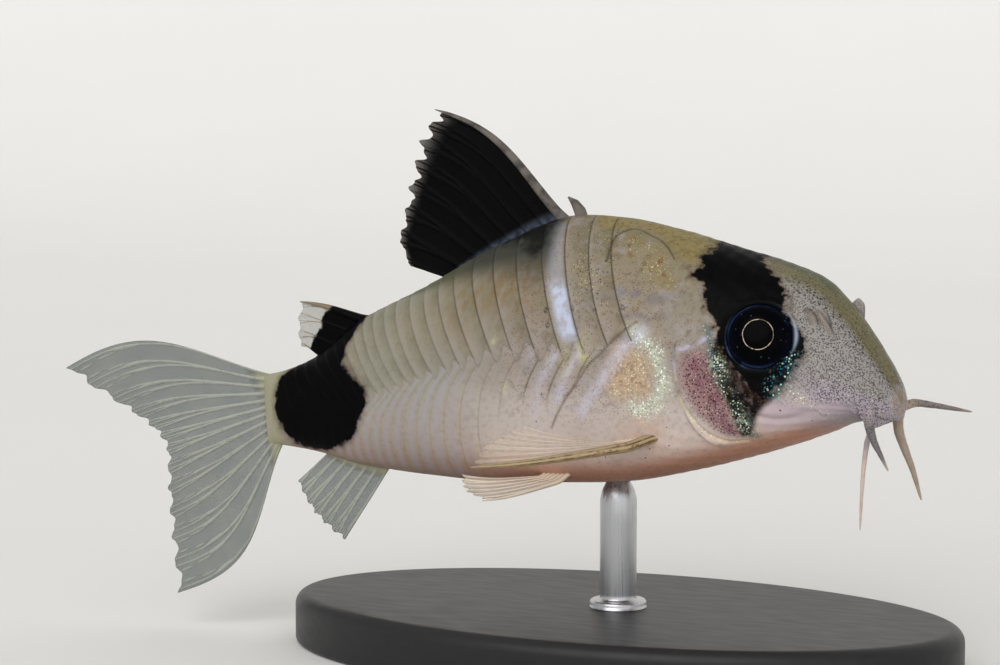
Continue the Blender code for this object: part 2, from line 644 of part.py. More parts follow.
# The stand: an oval base with a rounded rim and one rod that stops just under the belly
BASE_LENGTH, BASE_WIDTH, BASE_HEIGHT, BASE_ROUNDING = 42.0, 24.0, 3.0, 0.8
BASE_SIDES = 56
ROD_RADIUS = 1.1
ROD_CLEARANCE = 0.4


def make_base():
    turns = np.arange(BASE_SIDES) * 2 * math.pi / BASE_SIDES
    levels = [(0.0, 0.0), (0.0, BASE_HEIGHT - BASE_ROUNDING)]
    for step in (30.0, 60.0, 90.0):
        turn = math.radians(step)
        levels.append((BASE_ROUNDING * (1 - math.cos(turn)), BASE_HEIGHT - BASE_ROUNDING * (1 - math.sin(turn))))
    points, faces = [], []
    for inset, height in levels:
        for turn in turns:
            points.append(((BASE_LENGTH / 2 - inset) * math.cos(turn) * MM,
                           (BASE_WIDTH / 2 - inset) * math.sin(turn) * MM, height * MM))
    for i in range(len(levels) - 1):
        for j in range(BASE_SIDES):
            k = (j + 1) % BASE_SIDES
            faces.append((i * BASE_SIDES + j, i * BASE_SIDES + k, (i + 1) * BASE_SIDES + k, (i + 1) * BASE_SIDES + j))
    faces.append(tuple(range(BASE_SIDES)))
    faces.append(tuple(range((len(levels) - 1) * BASE_SIDES, len(levels) * BASE_SIDES)))
    add_node("stand_base", points, faces, base_look)


def make_rod():
    belly = float(skin(ROD_PLACE, 180.0)[2]) / MM
    foot, top = BASE_HEIGHT + GAP, belly - ROD_CLEARANCE
    path = [(0.0, 0.0, foot * MM), (0.0, 0.0, top * MM)]
    add_node("stand_rod", *tube(path, (ROD_RADIUS, ROD_RADIUS), sides=24), rod_look)


make_base()
make_rod()
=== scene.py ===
import math

import bpy
import numpy as np
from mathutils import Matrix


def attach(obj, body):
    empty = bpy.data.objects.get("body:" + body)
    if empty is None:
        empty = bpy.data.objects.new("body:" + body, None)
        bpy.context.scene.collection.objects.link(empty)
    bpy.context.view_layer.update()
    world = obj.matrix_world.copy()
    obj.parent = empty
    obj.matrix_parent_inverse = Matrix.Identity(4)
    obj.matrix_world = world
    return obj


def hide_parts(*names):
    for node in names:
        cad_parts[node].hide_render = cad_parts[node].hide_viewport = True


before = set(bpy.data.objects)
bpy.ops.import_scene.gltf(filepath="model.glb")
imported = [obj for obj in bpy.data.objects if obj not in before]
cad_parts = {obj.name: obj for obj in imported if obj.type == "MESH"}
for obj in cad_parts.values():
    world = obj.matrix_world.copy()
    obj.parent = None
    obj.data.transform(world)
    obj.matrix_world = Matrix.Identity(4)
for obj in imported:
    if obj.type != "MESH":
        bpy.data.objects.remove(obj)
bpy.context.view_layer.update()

MM = 0.001
RIGHT, LEFT = -1, 1
BODY_LENGTH, SKIN_LENGTH = 40.0, 41.0
ROD_PLACE, FISH_LIFT = 17.6, 10.6
NOSE_UP, PITCH_HEIGHT = 4.0, 6.0
HEAD_TURN, TAIL_TURN = 8.0, 8.0
HEAD_TURN_FROM, TAIL_TURN_FROM = 12.0, 22.0

# Distance behind the snout, height of back, height of belly, half width, height of the widest place,
# roundness above it, roundness below it
SECTIONS = np.array([
    (0.0, 4.2, 4.0, 0.0, 4.1, 2.0, 2.0),
    (0.35, 5.5, 3.5, 1.5, 4.3, 2.0, 2.0),
    (1.2, 7.1, 3.5, 2.5, 4.7, 2.0, 2.0),
    (3.0, 9.95, 3.2, 3.4, 5.2, 2.0, 2.2),
    (4.4, 11.5, 2.7, 3.87, 5.35, 2.0, 2.3),
    (6.0, 12.3, 2.2, 4.3, 5.5, 2.0, 2.4),
    (9.5, 13.5, 1.3, 5.1, 5.6, 2.0, 2.6),
    (13.0, 14.7, 0.6, 5.6, 5.5, 1.9, 2.8),
    (16.5, 15.6, 0.1, 5.6, 5.4, 1.8, 2.8),
    (19.5, 15.9, 0.0, 5.2, 5.6, 1.7, 2.6),
    (24.5, 14.5, 0.0, 4.3, 5.9, 1.8, 2.4),
    (30.0, 12.0, 0.5, 3.2, 6.2, 1.9, 2.2),
    (34.5, 10.1, 1.2, 2.3, 6.0, 2.0, 2.0),
    (38.0, 7.8, 2.2, 1.5, 5.2, 2.0, 2.0),
    (40.0, 7.2, 2.6, 0.9, 4.9, 2.0, 2.0),
    (41.0, 7.05, 2.75, 0.3, 4.9, 2.0, 2.0),
])


def smooth_curve(xs, ys, x):
    """Curve through the given points that never overshoots between them"""
    xs, ys, x = (np.asarray(v, float) for v in (xs, ys, x))
    step = np.diff(xs)
    slope = np.diff(ys) / step
    tangent = np.zeros_like(xs)
    tangent[0], tangent[-1] = slope[0], slope[-1]
    for i in range(1, len(xs) - 1):
        if slope[i - 1] * slope[i] > 0:
            before, after = 2 * step[i] + step[i - 1], step[i] + 2 * step[i - 1]
            tangent[i] = (before + after) / (before / slope[i - 1] + after / slope[i])
    i = np.clip(np.searchsorted(xs, x) - 1, 0, len(xs) - 2)
    t = (x - xs[i]) / step[i]
    return ((1 + 2 * t) * (1 - t) ** 2 * ys[i] + t * (1 - t) ** 2 * step[i] * tangent[i]
            + t * t * (3 - 2 * t) * ys[i + 1] + t * t * (t - 1) * step[i] * tangent[i + 1])


def ease(low, high, x):
    """0 below low, 1 above high and smooth between"""
    t = np.clip((np.asarray(x, float) - low) / (high - low), 0.0, 1.0)
    return t * t * (3 - 2 * t)


def rise_and_fall(x, low, risen, falling, fallen):
    """0 below low, 1 from risen to falling and 0 above fallen, smooth between"""
    return ease(low, risen, x) * (1 - ease(falling, fallen, x))


def section(distance):
    """Back, belly, half width, widest height and both roundnesses at a distance behind the snout"""
    root = np.sqrt(np.clip(distance, 0.0, SKIN_LENGTH))
    return [smooth_curve(np.sqrt(SECTIONS[:, 0]), SECTIONS[:, column], root) for column in range(1, 7)]


def pose(distance, side, height):
    """World point in metres of a place on the straight, level fish"""
    distance, side, height = (np.asarray(v, float) for v in (distance, side, height))
    head_curve = math.radians(HEAD_TURN) / HEAD_TURN_FROM
    tail_curve = math.radians(TAIL_TURN) / (BODY_LENGTH - TAIL_TURN_FROM)
    ahead = np.clip(HEAD_TURN_FROM - distance, 0.0, None)
    behind = np.clip(distance - TAIL_TURN_FROM, 0.0, None)
    heading = tail_curve * behind - head_curve * ahead
    x = ROD_PLACE - distance - head_curve ** 2 * ahead ** 3 / 6 + tail_curve ** 2 * behind ** 3 / 6
    y = -0.5 * head_curve * ahead ** 2 - 0.5 * tail_curve * behind ** 2
    x, y = x - side * np.sin(heading), y + side * np.cos(heading)
    pitch, up = math.radians(NOSE_UP), height - PITCH_HEIGHT
    lifted = x * math.cos(pitch) - up * math.sin(pitch)
    z = PITCH_HEIGHT + x * math.sin(pitch) + up * math.cos(pitch)
    return np.stack(np.broadcast_arrays(lifted, y, z + FISH_LIFT), -1) * MM


def around(distance, angle, raised=0.0):
    """Side and height of a place on the skin: angle runs from 0 at the back to 180 at the belly"""
    back, belly, half_width, widest, upper, lower = section(distance)

    def outline(turn):
        c, s = np.cos(turn), np.sin(turn)
        power = 2.0 / np.where(c > 0, upper, lower)
        reach = np.where(c > 0, back - widest, widest - belly)
        return (half_width * np.sign(s) * np.abs(s) ** power,
                widest + reach * np.sign(c) * np.abs(c) ** power)

    turn = np.radians(np.asarray(angle, float))
    side, height = outline(turn)
    side_after, height_after = outline(turn + 0.02)
    side_before, height_before = outline(turn - 0.02)
    along_side, along_height = side_after - side_before, height_after - height_before
    size = np.hypot(along_side, along_height) + 1e-9
    return side - raised * along_height / size, height + raised * along_side / size


def skin(distance, angle, raised=0.0):
    """World point of a place on the skin, raised from it by millimetres"""
    side, height = around(distance, angle, raised)
    return pose(distance, side, height)


def skin_normal(distance, angle):
    """Unit vector out of the skin"""
    along = skin(distance + 0.05, angle) - skin(distance - 0.05, angle)
    across = skin(distance, angle + 1.0) - skin(distance, angle - 1.0)
    normal = np.cross(across, along)
    return normal / np.linalg.norm(normal)


# One side of the skin as a fine grid: places behind the snout, and angles from the back to the belly
SKIN_RINGS, SKIN_ANGLES = 800, 270
places = SKIN_LENGTH * np.linspace(0, 1, SKIN_RINGS) ** 1.5
angles = 180.0 * np.linspace(0, 1, SKIN_ANGLES)
A, T = places[:, None] + 0 * angles[None, :], angles[None, :] + 0 * places[:, None]
flat_side, flat_height = around(A, T)
steps_round = np.hypot(np.diff(flat_side, axis=1), np.diff(flat_height, axis=1))
ARC = np.concatenate([np.zeros((SKIN_RINGS, 1)), np.cumsum(steps_round, axis=1)], axis=1)


def arc_at(place, angle):
    """Millimetres round the skin from the middle of the back"""
    ring = int(round(float(np.interp(place, places, np.arange(SKIN_RINGS)))))
    return math.copysign(float(np.interp(abs(angle), angles, ARC[ring])), angle)


def flowing(points, closed):
    """A smooth line over the skin through places given as distance behind the snout and angle"""
    knots = np.array([(place, arc_at(place, angle)) for place, angle in points])
    before = np.roll(knots, 1, 0) if closed else np.concatenate([knots[:1], knots[:-1]])
    after = np.roll(knots, -1, 0) if closed else np.concatenate([knots[1:], knots[-1:]])
    far = np.roll(knots, -2, 0) if closed else np.concatenate([knots[2:], knots[-1:], knots[-1:]])
    line = []
    for a, b, c, d in list(zip(before, knots, after, far))[:None if closed else -1]:
        for t in np.linspace(0, 1, 6, endpoint=False):
            line.append(0.5 * (2 * b + (c - a) * t + (2 * a - 5 * b + 4 * c - d) * t * t
                               + (3 * b - a - 3 * c + d) * t ** 3))
    return line if closed else line + [knots[-1]]


def off_line(points, closed=False):
    """Millimetres over the skin from a line"""
    line = flowing(points, closed)
    ends = line[1:] + line[:1] if closed else line[1:]
    nearest = np.full(A.shape, 99.0)
    for (x, y), (x_end, y_end) in zip(line, ends):
        dx, dy = x_end - x, y_end - y
        t = np.clip(((A - x) * dx + (ARC - y) * dy) / (dx * dx + dy * dy + 1e-9), 0, 1)
        nearest = np.minimum(nearest, np.hypot(A - x - t * dx, ARC - y - t * dy))
    return nearest


def inside(points):
    """Millimetres inside a patch of the skin, negative outside it"""
    line = flowing(points, True)
    within = np.zeros(A.shape, bool)
    for (x, y), (x_end, y_end) in zip(line, line[1:] + line[:1]):
        if y != y_end:
            within ^= ((y > ARC) != (y_end > ARC)) & (A < (x_end - x) * (ARC - y) / (y_end - y) + x)
    return np.where(within, 1.0, -1.0) * off_line(points, True)


def ridge(distance, width):
    """1 on a line, falling softly to 0 beside it"""
    return np.exp(-(distance / width) ** 2)


# Rear edges of the bony plates along the middle of the back; the lower row lies half a plate further on
PLATE_EDGES = [16.8, 18.25, 19.85, 21.4, 23.15, 24.75, 26.2, 27.5, 28.6, 29.6, 30.6, 31.6, 32.4, 33.2,
               33.9, 34.6, 35.3, 36.0, 36.7, 37.4, 38.1, 38.8, 39.5, 40.2]
PLATE_RAISED = 0.055
SEAM_WIDTH = 0.05
UPPER_SWEEP, LOWER_SWEEP, LOWER_BEND = 2.3, 2.2, 0.12
LOWER_RELIEF = 0.35
ROWS_MEET = [(12.0, 66.0), (17.7, 71.5), (20.5, 71.5), (23.3, 72.5), (26.9, 78.5), (30.7, 89.0),
             (33.7, 97.0), (41.0, 98.0)]
lateral_line = smooth_curve([p[0] for p in ROWS_MEET], [p[1] for p in ROWS_MEET], A)
row = np.where(T < lateral_line, T / lateral_line, 1 + (T - lateral_line) / (180 - lateral_line))
sweep_fade = np.clip((BODY_LENGTH - A) / 3.5, 0, 1)
upper_place = A + UPPER_SWEEP * np.clip(row, 0, 1) ** 2.3 * sweep_fade
lower_sweep = UPPER_SWEEP - LOWER_SWEEP * (1 - np.exp(-np.clip(row - 1, 0, 1) / LOWER_BEND))
lower_place = A + lower_sweep * sweep_fade
numbers = np.arange(len(PLATE_EDGES), dtype=float)
upper_number = np.interp(upper_place, PLATE_EDGES, numbers)
lower_number = np.interp(lower_place, PLATE_EDGES, numbers) - 0.5
meeting = 1 + 0.035 * np.cos(2 * math.pi * (upper_number - 0.75)) * ease(16.0, 18.0, A)
in_upper = row < meeting
number = np.where(in_upper, upper_number, lower_number)
part = number - np.floor(number)
length = np.interp(np.floor(number) + 0.5, numbers[:-1] + 0.5, np.diff(PLATE_EDGES))

HUMERAL_LINE = [(14.2, 62), (14.9, 65), (15.7, 69), (16.4, 73), (17.2, 77), (18.0, 83.5), (18.8, 90.5),
                (19.3, 95), (19.9, 104)]
humeral_place = np.interp(T, [p[1] for p in HUMERAL_LINE], [p[0] for p in HUMERAL_LINE])
last_angle = 85.0 + 64.0 * ease(22.5, 27.5, A)
upper_reach = ease(0.0, 0.1, row) * ease(PLATE_EDGES[0] - 0.1, PLATE_EDGES[0], upper_place)
lower_reach = ease(0.0, 0.3, A - humeral_place) * (1 - ease(last_angle, last_angle + 12.0, T))
plated = np.where(in_upper, upper_reach, lower_reach) * (1 - ease(39.0, 40.4, A))
crest = (part ** 1.6) * (1 - ease(length - 0.16, length, part * length))
to_edge = np.minimum(part, 1 - part) * length
meeting_gap = np.abs(row - meeting) * steps_round.sum(axis=1)[:, None] / 2
row_relief = np.where(in_upper, 1.0, LOWER_RELIEF) * ease(0.0, 0.45, meeting_gap)
plate_relief = PLATE_RAISED * crest * plated * row_relief
line_fade = plated * (1 - 0.75 * ease(24.0, 31.0, A))
line_fade *= np.where(in_upper, 1.0, 1.0 - 0.25 * ease(22.0, 24.0, A))
line_fade *= 1 - 0.5 * ease(21.0, 23.0, A) * ease(50, 85, T)
seam = ridge(to_edge, SEAM_WIDTH) * line_fade
seam = np.maximum(seam, 0.35 * ridge(meeting_gap, 0.06) * rise_and_fall(A, 17.0, 19.0, 24.0, 30.0))

GILL_EDGE = [(10.0, 68), (10.6, 71), (11.25, 72), (11.87, 74), (11.87, 79), (11.76, 84.5), (11.6, 90),
             (11.25, 95.5), (10.7, 105), (10.0, 116.5), (9.07, 127.5), (8.1, 133.5)]
gill_gap = off_line(GILL_EDGE)
gill_place = smooth_curve([0, 30, 50, 64, 73, 90, 113, 130, 150, 180],
                          [13.2, 12.6, 11.6, 11.1, 11.8, 11.5, 10.7, 9.8, 8.9, 8.4], T)
gill_cover = rise_and_fall(T, 66, 74, 126, 138) * ease(6.0, 11.0, A)
gill_relief = 0.26 * gill_cover * (1 - ease(-0.12, 0.12, A - gill_place))
gill_relief -= 0.14 * ridge(gill_gap, 0.14)

NAPE_SEAM = [(15.6, 16.5), (16.35, 24), (16.5, 32), (16.55, 38)]
NAPE_ARC = [(15.6, 16.5), (15.1, 16), (14.4, 18.5), (13.7, 21), (13.1, 25), (12.5, 31.5)]
seam = np.maximum(seam, 0.9 * ridge(off_line(NAPE_SEAM), 0.07))
seam = np.maximum(seam, 0.8 * ridge(off_line(NAPE_ARC), 0.06))
seam = np.maximum(seam, 0.75 * ridge(off_line(HUMERAL_LINE), 0.07))
bone_relief = -0.07 * ridge(off_line(NAPE_SEAM), 0.1) - 0.07 * ridge(off_line(NAPE_ARC), 0.09)
CHEEK_LINE = [(8.9, 84), (8.1, 96), (7.0, 110), (5.6, 118), (3.8, 118)]
bone_relief -= 0.10 * ridge(off_line(CHEEK_LINE), 0.22)

# The mouth is a crosswise cleft under the snout, and from each end of the upper lip hangs a fleshy lobe
below = ease(106.0, 122.0, T)
MOUTH_PLACE, LIP_AWAY = 1.15, 0.5
lips = 0.24 * ridge(np.abs(A - MOUTH_PLACE) - LIP_AWAY, 0.3)
mouth_relief = below * (lips - 0.42 * ridge(A - MOUTH_PLACE, 0.2))


def over_skin(place, angle, along=1.0, round_it=1.0):
    """Millimetres over the skin from a place on it, or how far out of an oval of the half sizes given"""
    return np.hypot((A - place) / along, (ARC - arc_at(place, angle)) / round_it)


LOBE_PLACE, LOBE_ANGLE, LOBE_LENGTH, LOBE_RADIUS = 1.05, 124.0, 0.9, 0.42
lobe_off = over_skin(LOBE_PLACE, LOBE_ANGLE) / LOBE_RADIUS
mouth_relief = mouth_relief * (1 - ridge(lobe_off, 1.3))
mouth_relief += LOBE_LENGTH * np.exp(-lobe_off ** 2 * (1 + 0.3 * lobe_off))

# Each nostril is a pit with a raised rim, and a small skin flap stands above and between the two
NOSTRILS = [(4.1, 46.0, 0.32), (3.2, 45.0, 0.26)]
FLAP_PLACE, FLAP_ANGLE, FLAP_HEIGHT = 3.45, 40.0, 1.0
nostril_relief, nostril, nostril_rim = 0 * A, 0 * A, 0 * A
for place, angle, radius in NOSTRILS:
    off = over_skin(place, angle)
    nostril_relief += 0.06 * ridge(off - radius - 0.06, 0.12) - 0.16 * (1 - ease(radius * 0.3, radius, off))
    nostril = np.maximum(nostril, 1 - ease(radius * 0.5, radius * 1.25, off))
    upper_side = ease(0.1, -0.2, ARC - arc_at(place, angle))
    nostril_rim = np.maximum(nostril_rim, ridge(off - radius - 0.05, 0.09) * upper_side)
flap_off = over_skin(FLAP_PLACE, FLAP_ANGLE, 0.3, 0.36)
flap = np.exp(-flap_off ** 4)
nostril_relief += FLAP_HEIGHT * flap

relief = plate_relief + gill_relief + bone_relief + mouth_relief + nostril_relief
relief += 0.02 * np.sin(A * 5.1 + T * 0.21) * np.sin(A * 2.3 - T * 0.33) * (1 - ease(12, 16, A))

# Markings and painted light and shade of the skin, each as millimetres inside its patch or as a strength
# from 0 to 1
MASK = [(10.5, -12), (10.5, 12), (10.95, 26), (10.9, 32.5), (11.2, 39), (10.5, 42.5), (10.25, 49.5),
        (10.0, 54.5), (9.55, 58.5), (9.3, 64), (9.1, 70.5), (8.45, 78.5), (7.7, 86), (7.05, 91.5),
        (6.4, 93.5), (5.75, 87), (5.05, 78), (4.65, 73), (4.25, 63), (4.75, 57), (5.3, 51.5), (5.6, 43),
        (5.85, 36), (6.4, 28.5), (7.15, 20), (7.75, 10.5), (7.75, -10)]
TAIL_SPOT = [(33.4, -6), (33.9, 20), (34.9, 61), (33.3, 92), (34.0, 112), (34.9, 130), (37.0, 152),
             (38.8, 150), (39.9, 110), (40.1, 82.5), (39.9, 50), (39.4, 22), (38.2, 5), (37.8, -6)]
DORSAL_PATCH = [(20.6, -8), (20.7, 18), (20.9, 30), (21.6, 33), (22.4, 27), (23.4, 18), (24.6, 8),
                (25, -8)]
NAPE = [(17.8, -15), (17.6, 18), (16.2, 17), (15.2, 13.5), (14.2, 17), (13.2, 23), (12.4, 31), (11.2, 31),
        (10.9, 20), (9.9, -15)]
OPERCLE = [(10.3, 73), (11.2, 76.5), (11.4, 84.5), (11.0, 92), (10.2, 104.5), (9.2, 118.5), (8.3, 125.5),
           (7.85, 118.5), (8.15, 99.5), (8.9, 89.5), (9.35, 82), (9.6, 75)]
OPERCLE_DEEP = [(10.5, 79), (9.8, 87), (9.1, 96.5), (8.6, 112)]
SHADE = [(9.25, 68), (8.7, 74), (8.0, 82), (7.3, 88), (6.5, 92), (6.1, 95), (6.6, 101), (7.1, 109),
         (7.5, 122), (8.25, 125), (8.5, 104), (8.95, 90), (9.4, 80), (9.6, 72)]
SHIMMER = [(9.1, 76), (9.35, 80), (8.95, 87), (8.35, 97), (8.0, 112), (7.75, 124)]
TEAL = [(5.0, 72), (5.3, 80), (5.7, 87), (6.1, 91)]
PALE_BY_MASK = [(10.0, 63), (9.75, 68), (9.65, 74)]
ORANGE = [(15.1, 70.5), (13.65, 74.5), (13.3, 81.5), (13.5, 89.5), (14.6, 90), (15.7, 88.5), (16.1, 82.5),
          (15.65, 76)]
SILVER = [(14.3, 65), (13.8, 69), (13.2, 72.5), (12.75, 79), (12.6, 86), (13.0, 91), (13.7, 94),
          (14.5, 93)]
SILVER_SPOTS = [(13.9, 68.5), (13.0, 73), (12.65, 84), (13.2, 92.5), (14.0, 94)]
GOLD = [(15.7, 26), (15, 22), (13.9, 25.5), (13.1, 30.5), (12.45, 38.5), (12.1, 45.5), (12.7, 48.5),
        (13.7, 45), (14.5, 37), (15.3, 34.5)]
PORES = [(14.05, 33.5), (14.2, 37.5), (13.7, 40), (16.9, 58), (15.15, 57), (20.2, 57.5), (20.0, 63),
         (18.4, 57)]
marks = {"mask": np.maximum(inside(MASK), inside(TAIL_SPOT)), "under_fin": inside(DORSAL_PATCH)}
marks["nape"] = ease(-0.5, 0.5, inside(NAPE))
marks["opercle"] = ease(-0.4, 0.5, inside(OPERCLE))
marks["deep"] = ridge(off_line(OPERCLE_DEEP), 0.75)
marks["shade"] = ease(-0.15, 0.2, inside(SHADE))
marks["shimmer"] = ridge(off_line(SHIMMER), 0.45)
GLINTS = [(9.2, 80, 1.0), (8.0, 113, 0.8)]
marks["glint"] = sum(strength * ridge(over_skin(place, angle), 0.5) for place, angle, strength in GLINTS)
# Teal and pale green flecks by the mask: painted glints over dark teal skin
marks["teal"] = np.maximum(ridge(off_line(TEAL), 0.4), 0.7 * ridge(off_line(PALE_BY_MASK), 0.25))
marks["orange"] = ease(-0.6, 0.7, inside(ORANGE))
# Silvery-green skin round the humeral patch, with bright spots: pale colour with painted glints
marks["silver"] = np.maximum(ridge(off_line(SILVER), 0.45), 0.4 * ease(-0.5, 0.4, inside(ORANGE)))
marks["bright"] = np.max([ridge(over_skin(*spot), 0.55) for spot in SILVER_SPOTS], axis=0)
marks["gold"] = ease(-0.5, 0.6, inside(GOLD))
marks["pore"] = np.max([ridge(over_skin(*pore) - 0.11, 0.035) for pore in PORES], axis=0)
marks["seam"] = np.clip(seam, 0, 1)
# Painted shade: the front part of each plate, which lies under the rear edge of the plate ahead, is
# darkened; faint on the lower row
marks["band"] = plated * (1 - part) ** 1.3 * np.where(in_upper, 1.0, 0.06)
# Painted highlight: the raised rear edge of each plate is lightened
marks["edge"] = plated * part ** 3 * (1 - ease(length - 0.1, length, part * length))
# The pale scute behind the head: pale scute colour, with a painted highlight in a band partway down it
scute = rise_and_fall(upper_number, 1.95, 2.2, 2.55, 2.95)
scute *= (1 - ease(0.9, 1.0, row)) * ease(0.08, 0.3, row)
marks["pale"] = scute * (0.3 + 0.7 * rise_and_fall(T, 44, 52, 66, 76))
# Pale lime spots on the plates below the scute: painted highlights
LIME_SPOTS = [(18.76, 75.5, 0.8), (17.5, 71.5, 0.8), (23.7, 67.5, 0.4), (23.0, 87.5, 0.4)]
marks["lime"] = np.max([ridge(over_skin(place, angle, size / 1.8, size), 1.0)
                        for place, angle, size in LIME_SPOTS], axis=0)
marks["turn"] = T / 180
marks["snout"] = 1 - ease(5.0, 9.5, A + 0.025 * T)
marks["peppered"] = marks["snout"] * (1 - ease(98, 110, T) * ease(1.4, 2.0, A))
# A pale lilac band in front of the humeral line and pale stripes across the front lower plates: lilac skin
# colour with painted highlight
LILAC = [(13.7, 65.5), (14.5, 68.5), (15.2, 73), (15.85, 78), (16.4, 83), (17.1, 89), (17.7, 94)]
lower_stripe = ridge(lower_number - np.floor(lower_number) - 0.5, 0.22) * ease(0.1, 0.4, A - humeral_place)
lower_stripe *= ease(0.0, 0.04, row - meeting) * (1 - ease(19.5, 22.5, A)) * (1 - ease(95, 110, T))
marks["lilac"] = np.maximum(0.9 * ridge(off_line(LILAC), 0.36), 0.8 * lower_stripe)
marks["stripes"] = plated * (1 - in_upper) * ease(24, 28, A) * ridge(part - 0.5, 0.2)
# Painted sheen: a pale lilac patch low on the snout and cheek
SNOUT_SHEEN = [(6.6, 96), (4.6, 98), (3.2, 103), (2.2, 112), (3.0, 128), (5.0, 128), (7.0, 122)]
marks["sheen"] = ease(-0.5, 0.5, inside(SNOUT_SHEEN))
dusk_angle = np.interp(A, [21.5, 23.8, 27.5, 31.5], [50, 42, 34, 14])
marks["dusk"] = rise_and_fall(A, 19.6, 20.8, 30.0, 34.0) * (1 - ease(0.6, 1.1, T / dusk_angle))
marks["crown"] = (1 - ease(5, 15, T)) * rise_and_fall(A, 2.5, 4.5, 10.5, 12.0)
marks["dust"] = rise_and_fall(A, 15.6, 16.4, 18.4, 19.2) * rise_and_fall(T, 12, 22, 50, 62)
SHOULDER_SPOT, CHEEK_SPOT = (13.9, 107), (4.4, 97)
marks["shoulder"] = ridge(over_skin(*SHOULDER_SPOT), 1.3)
# A pale patch under the eye, with white flecks over it that are painted glints
marks["cheek"] = ridge(over_skin(*CHEEK_SPOT, 1.4, 0.45), 1.0)
marks["rust"] = rise_and_fall(A, 20.2, 21.0, 25.5, 30.0) * ridge(T - 44, 16.0)
upper_groove = rise_and_fall(A, 10.9, 12.2, 15.2, 17.4) * ridge(T - 52 - 1.4 * np.sin(A * 2), 2.6)
lower_groove = rise_and_fall(A, 11.8, 12.6, 15.0, 15.6) * ridge(T - 60, 1.6)
marks["groove"] = np.maximum(upper_groove, 0.7 * lower_groove)
EYE_PLACE, EYE_ANGLE = 6.88, 64.3
eye_turn = np.degrees(np.arctan2(ARC - arc_at(EYE_PLACE, EYE_ANGLE), A - EYE_PLACE))
eye_front = np.minimum(np.abs(eye_turn + 152), np.abs(eye_turn - 208))
marks["nostril"] = nostril
marks["flap"] = flap
# Painted shade: a dark line along the upper side of the nostril flap and the upper rims of the nostrils
flap_upper_side = ease(0.15, -0.1, ARC - arc_at(FLAP_PLACE, FLAP_ANGLE))
marks["outline"] = ridge(flap_off - 1.25, 0.2) * flap_upper_side + 0.7 * nostril_rim
# Painted shade in the mouth slit and along the upper rims of the nostrils
mouth_slit = below * ridge(A - MOUTH_PLACE, 0.16) * (1 - ridge(lobe_off, 1.0))
marks["cleft"] = np.maximum(mouth_slit, 0.5 * nostril_rim)
marks["rim"] = ridge(A - 0.22, 0.08)
marks["lip"] = 1 - ease(0.12, 0.22, A)
marks["end"] = ease(38.6, 40.2, A)
# Painted highlight along the raised edge of the gill cover, with painted yellow glints
marks["gill"] = ridge(gill_gap - 0.05, 0.10)
marks["rear"] = ease(20.0, 32.0, A)

# The skin sinks round each eye, so the eyeball rises out of a soft rim
EYE_RADIUS, EYE_STANDS_OUT, EYE_DEPTH, EYE_BACK = 2.0, 0.5, 1.1, 2.2
SEEN_RADIUS, SOCKET_DEPTH = 1.86, 1.2
skin_side, skin_height = around(A, T, relief)


def one_side(side):
    """Points of one side of the skin, and the distance of each from the line of sight of its eye"""
    points = pose(A, side * skin_side, skin_height)
    middle, out = skin(EYE_PLACE, side * EYE_ANGLE), skin_normal(EYE_PLACE, side * EYE_ANGLE)
    toward = (points - middle) @ out
    off = np.linalg.norm(points - middle - toward[..., None] * out, axis=-1) / MM
    off = np.where(toward > -2.5 * MM, off, 99.0)
    ball = EYE_DEPTH * (math.sqrt(1 - (SEEN_RADIUS / EYE_RADIUS) ** 2) - 1) + EYE_STANDS_OUT
    sunk = ball + 0.02 - (1 - ease(SEEN_RADIUS - 0.25, SEEN_RADIUS + 0.02, off)) * SOCKET_DEPTH
    level = toward / MM
    follow = 1 - ease(SEEN_RADIUS + 0.02, SEEN_RADIUS + 0.6, off)
    rim = 0.03 * ridge(off - SEEN_RADIUS - 0.2, 0.15)
    points = points + (((sunk - level) * follow + rim) * MM)[..., None] * out
    return points, off


right_points, eye_off = one_side(RIGHT)
left_points, _ = one_side(LEFT)
marks["orbit"] = ridge(eye_off - SEEN_RADIUS - 0.06, 0.05) * ridge(eye_turn - 45, 38.0)
# Painted highlight: a pale crescent on the skin round the front of the eye
crescent_width = 0.03 + 0.08 * ridge(eye_front, 20.0)
marks["painted_eye_highlight"] = ridge(eye_off - SEEN_RADIUS - 0.24, crescent_width) * ridge(eye_front, 24.0)


def grid_faces(rows, columns, joined=False):
    """Corner numbers of the quads of a grid, joined back to its first column or not"""
    i, j = np.meshgrid(np.arange(rows - 1), np.arange(columns if joined else columns - 1), indexing="ij")
    k = (j + 1) % columns
    here, below_it = i * columns, (i + 1) * columns
    return np.stack([here + j, here + k, below_it + k, below_it + j], -1).reshape(-1, 4)


def piece(name, points, faces, look, slot, replaced, marks=None):
    """A smooth mesh object that rides with the model and stands for the CAD nodes that it replaces"""
    mesh = bpy.data.meshes.new(name)
    mesh.from_pydata(np.asarray(points).reshape(-1, 3).tolist(), [], [list(f) for f in faces])
    for mark, values in (marks or {}).items():
        layer = mesh.attributes.new(mark, "FLOAT", "POINT")
        layer.data.foreach_set("value", np.asarray(values, dtype=np.float32).ravel())
    mesh.shade_smooth()
    mesh.materials.append(look)
    made = bpy.data.objects.new(name, mesh)
    bpy.context.scene.collection.objects.link(made)
    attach(made, "root")
    if replaced:
        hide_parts(*replaced)
    return made


def tone(red, green, blue):
    """Linear colour of a colour as a screen shows it"""
    return tuple(((v / 255 + 0.055) / 1.055) ** 2.4 for v in (red, green, blue)) + (1.0,)


def new_look(name, roughness, specular=0.5):
    """A new material and its shader; the node functions below all add to the newest material's tree"""
    global tree
    made = bpy.data.materials.new(name)
    made.use_nodes = True
    tree = made.node_tree
    shader = tree.nodes["Principled BSDF"]
    shader.inputs["Roughness"].default_value = roughness
    shader.inputs["Specular IOR Level"].default_value = specular
    return made, shader


